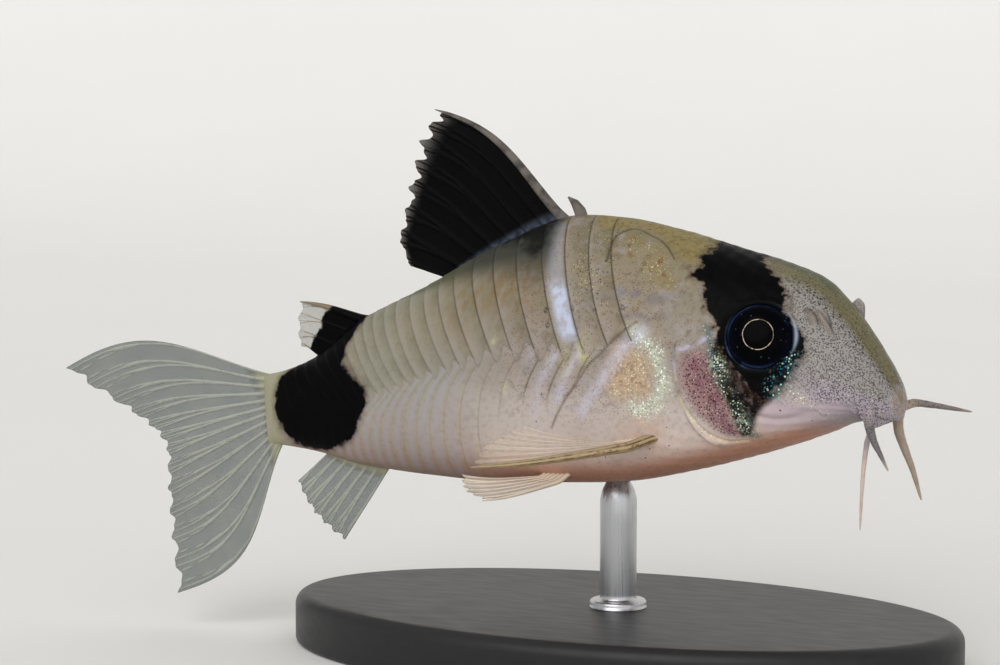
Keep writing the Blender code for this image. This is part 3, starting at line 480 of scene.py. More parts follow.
def feed(socket, value):
    if isinstance(value, bpy.types.NodeSocket):
        tree.links.new(value, socket)
    else:
        socket.default_value = value


def dress(shader, **values):
    """Values or node outputs for the shader's sockets of the same names"""
    for name, value in values.items():
        feed(shader.inputs[name.replace("_", " ").title()], value)


def blend(factor, first, second, how="MIX"):
    made = tree.nodes.new("ShaderNodeMix")
    made.data_type = "RGBA"
    made.blend_type = how
    for index, value in ((0, factor), (6, first), (7, second)):
        feed(made.inputs[index], value)
    return made.outputs[2]


def reading(name):
    made = tree.nodes.new("ShaderNodeAttribute")
    made.attribute_name = name
    return made.outputs["Fac"]


def sums(operation, first, second=0.0, third=0.0):
    made = tree.nodes.new("ShaderNodeMath")
    made.operation = operation
    for index, value in enumerate((first, second, third)):
        feed(made.inputs[index], value)
    return made.outputs[0]


def between(value, low, high, from_value=0.0, to_value=1.0):
    made = tree.nodes.new("ShaderNodeMapRange")
    made.interpolation_type = "SMOOTHSTEP"
    for index, number in enumerate((value, low, high, from_value, to_value)):
        feed(made.inputs[index], number)
    return made.outputs[0]


def where(stretch=(1, 1, 1)):
    coordinates = tree.nodes.new("ShaderNodeTexCoord").outputs["Object"]
    mapping = tree.nodes.new("ShaderNodeMapping")
    mapping.inputs["Scale"].default_value = stretch
    tree.links.new(coordinates, mapping.inputs["Vector"])
    return mapping.outputs["Vector"]


def clouds(size, detail=3.0, stretch=(1, 1, 1)):
    """Soft noise from 0 to 1 whose lumps are about size millimetres wide"""
    made = tree.nodes.new("ShaderNodeTexNoise")
    tree.links.new(where(stretch), made.inputs["Vector"])
    made.inputs["Scale"].default_value = 1 / (size * MM)
    made.inputs["Detail"].default_value = detail
    return made.outputs["Fac"]


def dots(spacing, size, share, stretch=(1, 1, 1)):
    """Strength of small dots: spacing apart in millimetres, size as a part of that, share of places used"""
    made = tree.nodes.new("ShaderNodeTexVoronoi")
    tree.links.new(where(stretch), made.inputs["Vector"])
    made.inputs["Scale"].default_value = 1 / (spacing * MM)
    chosen = tree.nodes.new("ShaderNodeSeparateColor")
    tree.links.new(made.outputs["Color"], chosen.inputs[0])
    used = sums("LESS_THAN", chosen.outputs[0], share)
    return sums("MULTIPLY", between(made.outputs["Distance"], size, size * 0.55), used)


def grains(size, low, high, stretch=(1, 1, 1)):
    """Fine uneven grain about size millimetres wide, 0 below low of the noise and 1 above high"""
    return between(clouds(size, 1.0, stretch), low, high)


def patches(size, low, high, weakest=0.0, strongest=1.0, stretch=(1, 1, 1)):
    """Soft patches about size millimetres wide, weakest below low of the noise and strongest above high"""
    return between(clouds(size, stretch=stretch), low, high, weakest, strongest)


def painted(colour, layers):
    """A colour with each layer's tint laid over it by its strength"""
    for strength, tint in layers:
        colour = blend(strength, colour, tint)
    return colour


def times(*values):
    product = values[0]
    for value in values[1:]:
        product = sums("MULTIPLY", product, value)
    return product


def bumped(shader, height, strength, distance):
    made = tree.nodes.new("ShaderNodeBump")
    made.inputs["Strength"].default_value = strength
    made.inputs["Distance"].default_value = distance * MM
    feed(made.inputs["Height"], height)
    dress(shader, normal=made.outputs["Normal"])


skin_look, shader = new_look("wet skin", 0.42, specular=0.04)
marked = {mark: reading(mark) for mark in marks}
wide, fine, turn = clouds(3.0), clouds(0.3), marked["turn"]
front = between(marked["rear"], 0.35, 0.0)
upper_front = times(front, between(turn, 0.6, 0.48))
snout_tone = blend(between(turn, 0.09, 0.19), tone(116, 110, 80), tone(152, 148, 144))
nape_dots = times(dots(0.22, 0.34, 0.45), patches(0.9, 0.4, 0.6))
pepper = times(marked["peppered"], dots(0.11, 0.55, 0.9))
olive_grain = times(marked["snout"], between(turn, 0.2, 0.08), grains(0.12, 0.48, 0.6))
snout_spots = times(marked["snout"], dots(0.19, 0.5, 0.7), between(turn, 0.09, 0.13),
                    between(turn, 0.24, 0.17))
# Painted glints: white flecks low on the snout
low_shine = times(marked["snout"], between(turn, 0.3, 0.42), dots(0.17, 0.3, 0.25))
uneven = patches(0.7, 0.35, 0.65, 0.15, 1.0)
streaks = patches(0.45, 0.35, 0.65, 0.1, 0.6, stretch=(1, 1, 0.3))
front_dots = times(upper_front, dots(0.15, 0.4, 0.55), between(wide, 0.3, 0.6, 0.2, 0.65))
dusk_tone = blend(between(marked["rear"], 0.4, 0.85), tone(44, 50, 48), tone(86, 86, 64))
ground = tone(118, 110, 84)


def wash(mark, strength, colour, *more):
    """An even tint over a mark of the skin"""
    return times(marked[mark], strength, *more), tone(*colour)


def flecks(mark, spacing, size, share, colour, *more):
    """Small dots over a mark of the skin"""
    return times(marked[mark], dots(spacing, size, share), *more), tone(*colour)


def round_body(low, high, colour):
    """A tint that comes in between two parts of the way from back to belly"""
    return between(turn, low, high), tone(*colour)


layers = [
    round_body(0.03, 0.25, (138, 130, 110)),
    round_body(0.24, 0.42, (152, 143, 134)),
    round_body(0.42, 0.56, (196, 184, 178)),
    round_body(0.55, 0.68, (220, 200, 190)),
    round_body(0.66, 0.80, (196, 144, 122)),
    wash("rear", 0.8, (140, 140, 124), between(turn, 0.8, 0.5)),
    wash("rear", 0.8, (150, 142, 130), between(turn, 0.5, 0.7)),
    (between(wide, 0.4, 0.7, 0.0, 0.22), tone(170, 140, 112)),
    (between(fine, 0.45, 0.75, 0.0, 0.25), tone(118, 108, 98)),
    (times(upper_front, patches(0.5, 0.5, 0.68, 0.0, 0.4)), tone(108, 90, 70)),
    (times(upper_front, patches(0.8, 0.5, 0.3, 0.0, 0.35)), tone(166, 160, 166)),
    # Painted shade on the front part of each plate, under the overlap of the plate ahead
    (times(marked["band"], patches(1.2, 0.2, 0.8, 0.15, 0.6)), tone(96, 90, 68)),
    # Painted highlight along the raised rear edges of the plates
    wash("edge", 0.25, (166, 160, 164)),
    (times(marked["rust"], streaks), tone(124, 98, 62)),
    (marked["nape"], tone(136, 122, 82)),
    (times(marked["nape"], between(fine, 0.4, 0.7, 0.0, 0.5)), tone(96, 86, 54)),
    (times(marked["nape"], nape_dots), tone(70, 52, 30)),
    (times(marked["snout"], 0.95), snout_tone),
    wash("snout", 0.5, (170, 156, 172), between(turn, 0.4, 0.5)),
    # Painted sheen low on the snout
    wash("sheen", 0.85, (192, 174, 182)),
    (times(olive_grain, 0.6), tone(64, 62, 44)),
    (times(pepper, between(turn, 0.06, 0.2, 0.25, 0.8)), tone(66, 60, 64)),
    (times(snout_spots, 0.8), tone(34, 34, 34)),
    # Painted glints low on the snout
    (times(low_shine, 0.6), tone(226, 224, 232)),
    (times(marked["crown"], patches(0.8, 0.3, 0.7, 0.3, 0.6)), tone(66, 80, 74)),
    # Pale patch under the eye, then white flecks over it as painted glints
    wash("cheek", 0.5, (206, 200, 176), uneven),
    flecks("cheek", 0.14, 0.4, 0.45, (236, 236, 214)),
    wash("shoulder", 0.4, (200, 146, 108), uneven),
    (front_dots, tone(88, 74, 66)),
    (times(front, dots(0.4, 0.17, 0.1)), tone(64, 46, 34)),
    flecks("dust", 0.15, 0.4, 0.45, (88, 74, 56), uneven),
    flecks("dust", 0.14, 0.34, 0.35, (204, 188, 128), patches(0.9, 0.4, 0.6)),
    wash("pore", 0.85, (48, 40, 34)),
    wash("groove", 0.6, (112, 110, 122), uneven),
    wash("opercle", 0.9, (150, 118, 118)),
    (times(marked["opercle"], marked["deep"], uneven), tone(118, 72, 86)),
    flecks("opercle", 0.13, 0.5, 0.9, (48, 26, 36), 0.85),
    # Pale flecks on the gill cover: painted glints
    flecks("opercle", 0.12, 0.32, 0.3, (220, 190, 172)),
    wash("gold", 0.5, (134, 118, 78)),
    (times(marked["gold"], grains(0.6, 0.58, 0.68), 0.7), tone(112, 74, 44)),
    # Yellow and white flecks over the gold patch: painted glints
    flecks("gold", 0.12, 0.36, 0.5, (206, 190, 128), uneven),
    flecks("gold", 0.15, 0.32, 0.2, (250, 248, 216), uneven),
    wash("orange", 0.9, (184, 144, 110)),
    (times(marked["orange"], grains(0.2, 0.5, 0.62), 0.7), tone(114, 80, 58)),
    # Silvery-green wash and pale and white flecks: painted glints; the dark flecks are skin pepper
    wash("silver", 0.6, (190, 196, 176)),
    (times(marked["bright"], patches(0.35, 0.45, 0.6), 0.45), tone(214, 224, 206)),
    flecks("silver", 0.11, 0.4, 0.4, (92, 84, 70)),
    flecks("silver", 0.13, 0.46, 0.5, (226, 236, 208), uneven),
    flecks("silver", 0.18, 0.36, 0.3, (255, 255, 250)),
    flecks("bright", 0.14, 0.45, 0.45, (255, 255, 252)),
    flecks("orange", 0.12, 0.32, 0.3, (226, 206, 160)),
    # Lilac skin colour with painted highlight; the dark flecks on it are skin pepper
    (times(marked["lilac"], patches(0.5, 0.35, 0.65, 0.3, 0.8)), tone(198, 196, 214)),
    flecks("lilac", 0.12, 0.36, 0.35, (108, 88, 78), 0.7),
    # Pale scute colour with a painted highlight
    (times(marked["pale"], patches(0.5, 0.3, 0.6, 0.45, 0.9)), tone(196, 204, 226)),
    # Painted highlights in pale lime
    wash("lime", 0.5, (206, 206, 138), uneven),
    wash("stripes", 0.5, (164, 160, 172)),
    wash("end", 0.8, (156, 154, 130)),
    # Painted highlight along the gill cover's edge, lilac above and cream below, then painted yellow glints
    (times(marked["gill"], uneven, between(turn, 0.42, 0.47, 0.75, 0.6)),
     blend(between(turn, 0.42, 0.48), tone(200, 194, 222), tone(230, 214, 178))),
    flecks("gill", 0.15, 0.4, 0.6, (248, 242, 180), between(turn, 0.5, 0.6)),
    # Painted shade along the nostril flap and nostril rims
    wash("outline", 0.6, (62, 58, 58)),
    wash("nostril", 0.7, (158, 148, 138)),
    wash("flap", 0.6, (164, 156, 148)),
    wash("lip", 0.45, (160, 140, 122)),
    wash("rim", 0.3, (190, 186, 196), uneven),
    wash("seam", 0.8, (56, 48, 34)),
    # Painted shade in the mouth slit and the upper nostril rims
    (marked["cleft"], tone(92, 76, 68)),
    (times(marked["shade"], patches(0.3, 0.3, 0.55, 0.85, 1.0)), tone(24, 17, 18)),
    flecks("shade", 0.12, 0.34, 0.2, (128, 108, 84), 0.6),
    wash("shimmer", 0.8, (34, 36, 32), uneven),
    (times(marked["glint"], patches(0.3, 0.45, 0.6), 0.55), tone(196, 212, 196)),
    flecks("shimmer", 0.12, 0.42, 0.45, (160, 184, 134)),
    flecks("shimmer", 0.15, 0.38, 0.35, (222, 244, 222)),
    flecks("glint", 0.14, 0.5, 0.5, (250, 255, 246)),
    flecks("shimmer", 0.21, 0.3, 0.2, (90, 170, 170)),
    (times(marked["dusk"], 0.85), dusk_tone),
]
colour = painted(ground, layers)
roughly = between(marked["rear"], 0.0, 1.0, 1.5, 0.7)
mask_noise, fin_noise = (sums("SUBTRACT", clouds(size, 6.0), 0.5) for size in (0.5, 0.6))
ragged = sums("MULTIPLY_ADD", mask_noise, roughly, marked["mask"])
under = sums("MULTIPLY_ADD", fin_noise, 2.0, marked["under_fin"])
black = sums("MAXIMUM", between(ragged, -0.14, 0.12), between(under, -0.5, 0.8, 0.0, 0.8))
over_mask = [
    (between(ragged, -0.55, 0.05, 0.0, 0.5), tone(66, 44, 28)),
    (black, tone(2, 2, 4)),
    (times(marked["teal"], between(ragged, 0.35, -0.1), 0.6), tone(40, 58, 62)),
    # Painted glints: teal and pale green flecks
    flecks("teal", 0.13, 0.5, 0.6, (36, 118, 142)),
    flecks("teal", 0.16, 0.42, 0.4, (186, 222, 196)),
    wash("orbit", 0.5, (96, 118, 156), uneven),
    # Painted highlight on the skin in front of the eye
    wash("painted_eye_highlight", 0.7, (170, 184, 206)),
]
colour = painted(colour, over_mask)
dress(shader, base_color=colour)
dress(shader, roughness=between(fine, 0.3, 0.7, 0.34, 0.5))
dress(shader, subsurface_weight=0.1, subsurface_radius=(1.0, 0.5, 0.35), subsurface_scale=0.3 * MM)
bumped(shader, sums("ADD", clouds(0.12, 2.0), times(pepper, 0.4)), 0.3, 0.02)

both = np.concatenate([left_points, right_points[:, -2:0:-1]], axis=1)
skin_marks = {mark: np.concatenate([v, v[:, -2:0:-1]], axis=1) for mark, v in marks.items()}
skin_faces = grid_faces(SKIN_RINGS, both.shape[1], joined=True).tolist()
skin_faces.append(list(range((SKIN_RINGS - 1) * both.shape[1], SKIN_RINGS * both.shape[1])))
piece("fish_skin", both, skin_faces, skin_look, "flesh", ("head", "trunk", "tail"), skin_marks)

# Eyes
# Round, dark fish eyes that look outward, mostly sunk in the head. Each is a near-black iris, whose thin
# pale gold ring marks the edge of the pupil.
PUPIL_RADIUS, RING_WIDTH = 0.85, 0.05
EYE_RINGS, EYE_SEGMENTS, POLE_GAP = 70, 96, 0.15


def make_eye(side, label):
    middle, out = skin(EYE_PLACE, side * EYE_ANGLE), skin_normal(EYE_PLACE, side * EYE_ANGLE)
    centre = middle + out * (EYE_STANDS_OUT - EYE_DEPTH) * MM
    along = np.cross(out, (0, 0, 1))
    along /= np.linalg.norm(along)
    upward = np.cross(along, out)
    sweep = np.radians(np.linspace(POLE_GAP, 180 - POLE_GAP, EYE_RINGS))
    turns = np.arange(EYE_SEGMENTS) * 2 * math.pi / EYE_SEGMENTS
    wide = EYE_RADIUS * np.sin(sweep)
    deep = np.where(sweep < math.pi / 2, EYE_DEPTH, EYE_BACK) * np.cos(sweep)
    across = np.cos(turns)[:, None] * along + np.sin(turns)[:, None] * upward
    points = centre + (deep[:, None, None] * out + wide[:, None, None] * across) * MM
    spread = np.where(deep > 0, wide, EYE_RADIUS)[:, None] + 0 * turns
    faces = grid_faces(EYE_RINGS, EYE_SEGMENTS, joined=True).tolist()
    faces.append(list(range(EYE_SEGMENTS)))
    faces.append(list(range((EYE_RINGS - 1) * EYE_SEGMENTS, EYE_RINGS * EYE_SEGMENTS)))
    piece("eyeball_" + label, points, faces, eye_look, "eye", ("eye_" + label,), {"spread": spread})


eye_look, shader = new_look("eye", 0.22, specular=0.02)
spread = reading("spread")
uneven = sums("MULTIPLY_ADD", clouds(0.4), 0.06, spread)
rim = times(between(uneven, 1.72, 1.8), between(uneven, 1.9, 1.82))
iris = painted(blend(between(uneven, 1.5, 1.9), tone(1, 2, 5), tone(6, 10, 24)), [
    (times(dots(0.2, 0.25, 0.1), 0.5), tone(80, 96, 120)),
    (times(rim, patches(1.4, 0.45, 0.65), 0.3), tone(60, 84, 132)),
])
from_ring = sums("ABSOLUTE", sums("SUBTRACT", uneven, PUPIL_RADIUS + RING_WIDTH))
ring = between(from_ring, RING_WIDTH / 2, RING_WIDTH / 4)
worn = patches(0.35, 0.4, 0.55, 0.25, 1.0)
eye_colour = blend(between(uneven, PUPIL_RADIUS, PUPIL_RADIUS + RING_WIDTH), tone(1, 1, 2), iris)
eye_colour = blend(times(ring, worn), eye_colour, tone(206, 188, 164))
dress(shader, base_color=eye_colour)
make_eye(RIGHT, "right")
make_eye(LEFT, "left")

# Barbels
# Two soft feelers hang from each corner of the mouth. They are tapering flesh, pale toward the tip and
# speckled with dark dots toward the root, and they swell into the lip where they leave it.
# Each root: distance behind the snout, angle round the body and how far it is raised from the skin
ROOTS = {"lower_right": (1.15, 142.0, 0.3), "upper_right": (1.1, 116.0, 0.2),
         "lower_left": (1.0, 146.0, 0.2), "upper_left": (1.1, 116.0, 0.2)}
BARBEL_SIDES = 20
# Radii along each, and steps from its root: ahead, outward and down
BARBELS = {
    "lower_right": (RIGHT, (0.18, 0.17, 0.15, 0.12, 0.09, 0.04),
                    [(-0.3, 0.05, 1.25), (-0.46, 0.15, 2.8), (-0.52, 0.25, 4.3), (-0.57, 0.3, 6.2)]),
    "upper_right": (RIGHT, (0.42, 0.36, 0.28, 0.2, 0.13, 0.05),
                    [(0.07, 0.05, 0.67), (0.33, 0.1, 1.5), (0.76, 0.15, 2.3), (1.25, 0.2, 3.2)]),
    "lower_left": (LEFT, (0.37, 0.32, 0.26, 0.2, 0.14, 0.06),
                   [(0.12, 0.0, 0.85), (0.5, 0.05, 2.0), (0.9, 0.1, 3.0), (1.43, 0.25, 4.85)]),
    "upper_left": (LEFT, (0.34, 0.3, 0.22, 0.17, 0.12, 0.05),
                   [(0.6, 0.55, -0.04), (1.5, 1.1, 0.1), (2.45, 1.7, 0.3), (3.45, 2.4, 0.53)]),
}
BARBEL_SHADES = {"lower_right": 0.0, "upper_right": 1.0, "lower_left": 0.15, "upper_left": 0.8}


def tube(path, radii, sides, squash=1.0):
    """Rings of points round a path of world points; radii in millimetres"""
    path = np.asarray(path)
    forward = np.gradient(path, axis=0)
    forward /= np.linalg.norm(forward, axis=1, keepdims=True)
    across = np.cross(forward[0], (0.3, 1.0, 0.2))
    turns = np.arange(sides) * 2 * math.pi / sides
    rings = []
    for place, ahead, radius in zip(path, forward, radii):
        across = across - ahead * np.dot(across, ahead)
        across /= np.linalg.norm(across)
        other = np.cross(ahead, across)
        ring = np.outer(np.cos(turns) * squash, across) + np.outer(np.sin(turns), other)
        rings.append(place + radius * MM * ring)
    return np.array(rings)


def capped(rings):
    rows, sides = rings.shape[:2]
    faces = grid_faces(rows, sides, joined=True).tolist()
    return faces + [list(range(sides)), list(range((rows - 1) * sides, rows * sides))]


def make_barbel(label, side, thick, steps):
    place, angle, raised = ROOTS[label]
    out = skin_normal(place, side * angle)
    root, sunk = skin(place, side * angle) + out * raised * MM, out * (raised + 0.8)
    bends = [-sunk, -sunk * 0.3, out * 0.15]
    bends.extend(np.array((ahead, side * away, -down)) for ahead, away, down in steps)
    bends = np.array(bends)
    knots = np.concatenate([[0.0], np.cumsum(np.linalg.norm(np.diff(bends, axis=0), axis=1))])
    knots /= knots[-1]
    parts = np.linspace(0, 1, 70)
    path = root + np.stack([smooth_curve(knots, bends[:, axis], parts) for axis in range(3)], -1) * MM
    radii = smooth_curve(np.linspace(0, 1, len(thick)), thick, parts)
    radii *= 1 + 0.02 * np.sin(parts * 41) + 0.015 * np.sin(parts * 83)
    radii = radii * np.sqrt(np.clip((1.005 - parts) / 0.03, 0.05, 1))
    rings = tube(path, radii, BARBEL_SIDES)
    # far marks the barbels on the far side, which are painted darker as shade
    marks = {"out": np.repeat(parts, BARBEL_SIDES), "far": np.full(rings.shape[:2], float(side == LEFT)),
             "shade": np.full(rings.shape[:2], BARBEL_SHADES[label])}
    piece("feeler_" + label, rings, capped(rings), feeler_look, "barbel", ("barbel_" + label,), marks)


feeler_look, shader = new_look("feeler skin", 0.4, specular=0.2)
out = reading("out")
shade, far = reading("shade"), reading("far")
dark = times(shade, between(out, 0.25, 0.45), between(out, 1.0, 0.8, 0.3, 1.0))
root_dots = times(dots(0.11, 0.5, 0.85), between(out, 1.0, 0.5, 0.2, 0.8), shade)
colour = blend(between(out, 0.3, 0.5), tone(164, 153, 158), tone(200, 184, 172))
colour = painted(colour, [
    # Painted shade: the barbels on the far side are darker tan
    (far, tone(172, 154, 136)),
    (dark, tone(112, 108, 110)),
    (patches(0.5, 0.4, 0.7, 0.0, 0.3), tone(122, 110, 102)),
    (root_dots, tone(56, 52, 58)),
])
dress(shader, base_color=colour)
dress(shader, subsurface_weight=0.2, subsurface_scale=0.3 * MM)
bumped(shader, clouds(0.12), 0.3, 0.02)
for label, (side, thick, steps) in BARBELS.items():
    make_barbel(label, side, thick, steps)

# Back fin
# A strong bony spine and seven soft rays carry a thin web. Spine and rays are jointed bone, the web is
# skin. All of it is black but for a pale front edge, a pale base and a frayed, brownish rim.

# How far the branches of a ray stand off it, in parts of the gap between rays, and the length of its joints
FIRST_BRANCH, SECOND_BRANCH, RAY_JOINT = 0.25, 0.11, 0.42
THINNEST_HALF = 0.012


def fin_web(ray_at, rays, columns, steps, web_half, ray_half, ray_width,
            branch_from, notch, fray, sway, seed):
    """One closed thin sheet for a fin: the web between its rays, and the branching rays as ridges on it

    columns is the number of grid lines from ray to ray and steps the number along each ray. web_half and
    ray_half are half thicknesses in millimetres; notch and fray say how far the edge draws in between rays.
    """
    across = np.linspace(0, rays - 1, (rays - 1) * columns + 1)
    out = np.linspace(0, 1, steps)
    near = np.abs(across - np.round(across))[:, None]
    rough = np.random.default_rng(seed)
    waves = [(rough.uniform(3, 9), rough.uniform(0, 6.3)) for _ in range(5)]
    ragged = sum(np.sin(across * speed * 2 + start) for speed, start in waves) / 5
    reach = 1 - notch * np.sin(near[:, 0] * math.pi) ** 2 - fray * (0.5 + 0.5 * ragged)
    grid = np.array([ray_at(c, out * r) for c, r in zip(across, reach)])
    gap = np.linalg.norm(np.gradient(grid, axis=0), axis=-1) * columns / MM
    part = out[None, :] * reach[:, None]
    split = np.clip((part - branch_from) / (1 - branch_from), 0, 1)
    second = np.clip((part - branch_from - 0.3) / (0.7 - branch_from), 0, 1)
    width = ray_width * (1 - 0.45 * part) * (1 - 0.35 * split)
    beside = np.where(near < 0.5, across[:, None] - np.round(across[:, None]), near)
    height = 0 * part
    for one in (-FIRST_BRANCH, FIRST_BRANCH):
        for two in (-SECOND_BRANCH, SECOND_BRANCH):
            height = np.maximum(height, ridge((beside - one * split - two * second) * gap, width))
    first_ray = ray_at(0.0, out)
    first_length = np.linalg.norm(first_ray[-1] - first_ray[0]) / MM
    joints = 1 + 0.10 * np.sin(part * 2 * math.pi * first_length / RAY_JOINT)
    half = web_half + (ray_half * (1 - 0.7 * part) * joints - web_half) * height
    normal = np.cross(np.gradient(grid, axis=0), np.gradient(grid, axis=1))
    normal /= np.linalg.norm(normal, axis=-1, keepdims=True) + 1e-12
    wave = sway * np.sin(across[:, None] * 0.9 + seed) * part ** 1.5 + 0.35 * sway * (1 - height) * part
    grid = grid + normal * wave[..., None] * MM
    thick = normal * np.maximum(half, THINNEST_HALF)[..., None] * MM
    points = np.concatenate([(grid + thick).reshape(-1, 3), (grid - thick).reshape(-1, 3)])
    wide, count = len(across), len(across) * steps
    sheet = grid_faces(wide, steps)
    rim = [c * steps for c in range(wide)] + [(wide - 1) * steps + s for s in range(1, steps)]
    rim += [c * steps + steps - 1 for c in range(wide - 2, -1, -1)] + [s for s in range(steps - 2, 0, -1)]
    edge = [[b, a, a + count, b + count] for a, b in zip(rim, rim[1:] + rim[:1])]
    faces = sheet[:, ::-1].tolist() + (sheet + count).tolist() + edge
    marks = {"ray": height, "out": part, "across": across[:, None] / (rays - 1) + 0 * part}
    return points, faces, {mark: np.tile(v.ravel(), 2) for mark, v in marks.items()}


def merged(*parts):
    """Several point, face and mark sets as one"""
    points, faces, marks, start = [], [], {}, 0
    for one_points, one_faces, one_marks in parts:
        one_points = np.asarray(one_points).reshape(-1, 3)
        points.append(one_points)
        faces.extend([[v + start for v in face] for face in one_faces])
        for mark, values in one_marks.items():
            marks.setdefault(mark, []).append(np.asarray(values, float).ravel())
        start += len(one_points)
    return np.concatenate(points), faces, {mark: np.concatenate(values) for mark, values in marks.items()}


SPINE_FLUTES = 7
# Where a spine lies across its fin: in front of the web, or along the web's first ray
BEFORE_WEB, ON_FIRST_RAY = -0.02, 0.0


def spine(path, radii, across, sides=42, squash=0.8):
    """A bony fin spine: a tapering tube with marks like those of the web"""
    rings = tube(path, radii, sides, squash)
    flutes = 0.8 + 0.2 * np.cos(np.arange(sides) * 2 * math.pi * SPINE_FLUTES / sides)
    marks = {"ray": np.tile(flutes, len(path)), "out": np.repeat(np.linspace(0, 1, len(path)), sides),
             "across": np.full(rings.shape[:2], across)}
    return rings, capped(rings), marks


def tapering(count, profile):
    """Radii along a spine, from pairs of part of its length and radius in millimetres"""
    parts, radii = zip(*profile)
    return np.interp(np.linspace(0, 1, count), parts, radii)


def straight(root, tip, part, bow=(0.0, 0.0, 0.0)):
    """Places on the straight fish along a ray that bows between its root and tip"""
    part = np.asarray(part)[:, None]
    root, tip, bow = np.array(root), np.array(tip), np.array(bow)
    return root + (tip - root) * part + bow * np.sin(math.pi * part ** 1.4)


def posed(places):
    return pose(places[:, 0], places[:, 1], places[:, 2])


DORSAL_FROM, DORSAL_TO = 20.4, 28.35
DORSAL_LENGTHS = [10.7, 10.1, 9.2, 8.1, 7.0, 5.9, 4.8, 2.7]
DORSAL_LEAN, DORSAL_LEAN_CHANGE, DORSAL_BOW = 40.5, 27.0, 1.0
DORSAL_SPINE = [(0, 0.42), (0.08, 0.34), (0.6, 0.24), (0.93, 0.12), (1, 0.03)]
# The short spine that locks the first: distance behind the snout and height over the back
SPINELET = [(19.3, -0.3), (19.45, 0.25), (19.75, 0.75), (20.15, 1.15)]
SPINELET_RADII = [0.42, 0.4, 0.28, 0.06]


def dorsal_ray(number, part):
    share = number / (len(DORSAL_LENGTHS) - 1)
    place = DORSAL_FROM + (DORSAL_TO - DORSAL_FROM) * share
    length = float(smooth_curve(range(len(DORSAL_LENGTHS)), DORSAL_LENGTHS, number))
    lean = math.radians(DORSAL_LEAN - DORSAL_LEAN_CHANGE * share ** 2.6)
    height = float(section(place)[0])
    bow = DORSAL_BOW * (1 - share)
    return posed(straight((place, 0.0, height - 0.25),
                          (place + length * math.cos(lean), 0.0, height + length * math.sin(lean)),
                          part, (-math.sin(lean) * bow, 0.0, math.cos(lean) * bow)))


black_look, shader = new_look("black fin skin", 0.55, specular=0.05)
ray, out, across = reading("ray"), reading("out"), reading("across")
colour = painted(blend(between(ray, 0.2, 0.8), tone(2, 2, 3), tone(6, 6, 7)), [
    (between(out, 0.85, 1.0, 0.0, 0.5), tone(70, 52, 40)),
    (times(between(out, 0.1, 0.02), patches(0.4, 0.3, 0.6, 0.3, 0.8)), tone(84, 92, 108)),
    (times(between(across, 0.004, -0.01), patches(0.8, 0.3, 0.6, 0.4, 1.0)), tone(110, 104, 98)),
])
dress(shader, base_color=colour)
thin = times(between(out, 0.8, 1.0, 0.0, 0.45), between(ray, 0.7, 0.3))
dress(shader, alpha=sums("SUBTRACT", 1.0, thin))
bumped(shader, clouds(0.15), 0.3, 0.02)
dorsal_web = fin_web(dorsal_ray, len(DORSAL_LENGTHS), columns=20, steps=90, web_half=0.05, ray_half=0.22,
                     ray_width=0.16, branch_from=0.35, notch=0.05, fray=0.07, sway=0.25, seed=3)
path = dorsal_ray(0.0, np.linspace(0, 1.0, 60))
dorsal_spine = spine(path, tapering(60, DORSAL_SPINE), BEFORE_WEB)
path = [posed(np.array([(place, 0.0, float(section(place)[0]) + up)]))[0] for place, up in SPINELET]
spinelet = spine(path, SPINELET_RADII, BEFORE_WEB)
dorsal = merged(dorsal_web, dorsal_spine, spinelet)
piece("dorsal_fin_skin", *dorsal[:2], black_look, "dark_fin", ("dorsal_fin",), dorsal[2])

# Adipose, tail and anal fins
# Clear fins behind: a small fatty fin with one spine, the forked tail fin, and the fin under the tail.
# Their webs are glassy skin, and their thin branching rays of jointed bone show grey and dark.
ADIPOSE_ROOTS = [34.0, 35.1, 36.2, 37.2]
ADIPOSE_TIPS = [(38.3, 11.5), (38.6, 10.5), (38.6, 9.5), (38.4, 8.7)]
ADIPOSE_SPINE = [(0, 0.42), (0.1, 0.34), (0.6, 0.2), (1, 0.05)]


def adipose_ray(number, part):
    rays = range(len(ADIPOSE_ROOTS))
    place = float(np.interp(number, rays, ADIPOSE_ROOTS))
    tip_place, tip_height = (float(smooth_curve(rays, values, number)) for values in zip(*ADIPOSE_TIPS))
    root = (place, 0.0, float(section(place)[0]) - 0.2)
    return posed(straight(root, (tip_place, 0.0, tip_height), part, (0, 0, 0.15)))


CAUDAL_RAYS = 13
CAUDAL_ROOT_HIGH, CAUDAL_ROOT_LOW = 6.95, 2.85
FORK_LENGTH, FORK_ANGLE = 8.0, -16.6
UPPER_GAIN, UPPER_TURN, UPPER_POWER = 6.2, 20.6, 1.7
LOWER_GAIN, LOWER_TURN, LOWER_POWER = 4.2, 34.2, 1.5
LOBE_BULGE = 2.0


def caudal_ray(number, part):
    across = 1 - 2 * number / (CAUDAL_RAYS - 1)
    gain, turn, power = ((UPPER_GAIN, UPPER_TURN, UPPER_POWER) if across >= 0
                         else (LOWER_GAIN, LOWER_TURN, LOWER_POWER))
    length = FORK_LENGTH + gain * abs(across) ** power
    angle = math.radians(FORK_ANGLE + turn * across)
    height = (CAUDAL_ROOT_HIGH + CAUDAL_ROOT_LOW) / 2 + across * (CAUDAL_ROOT_HIGH - CAUDAL_ROOT_LOW) / 2
    tip = (BODY_LENGTH + 0.3 + length * math.cos(angle), 0.0, height + length * math.sin(angle))
    bow = LOBE_BULGE * across * abs(across)
    bow_way = (-math.sin(angle) * bow, 0.0, math.cos(angle) * bow)
    return posed(straight((BODY_LENGTH, 0.0, height), tip, part, bow_way))


ANAL_FROM, ANAL_TO, ANAL_RAYS = 33.0, 37.0, 7
ANAL_LENGTH, ANAL_SHORTER, ANAL_DROP, ANAL_DROP_LESS = 5.4, 2.8, 50.0, 20.0


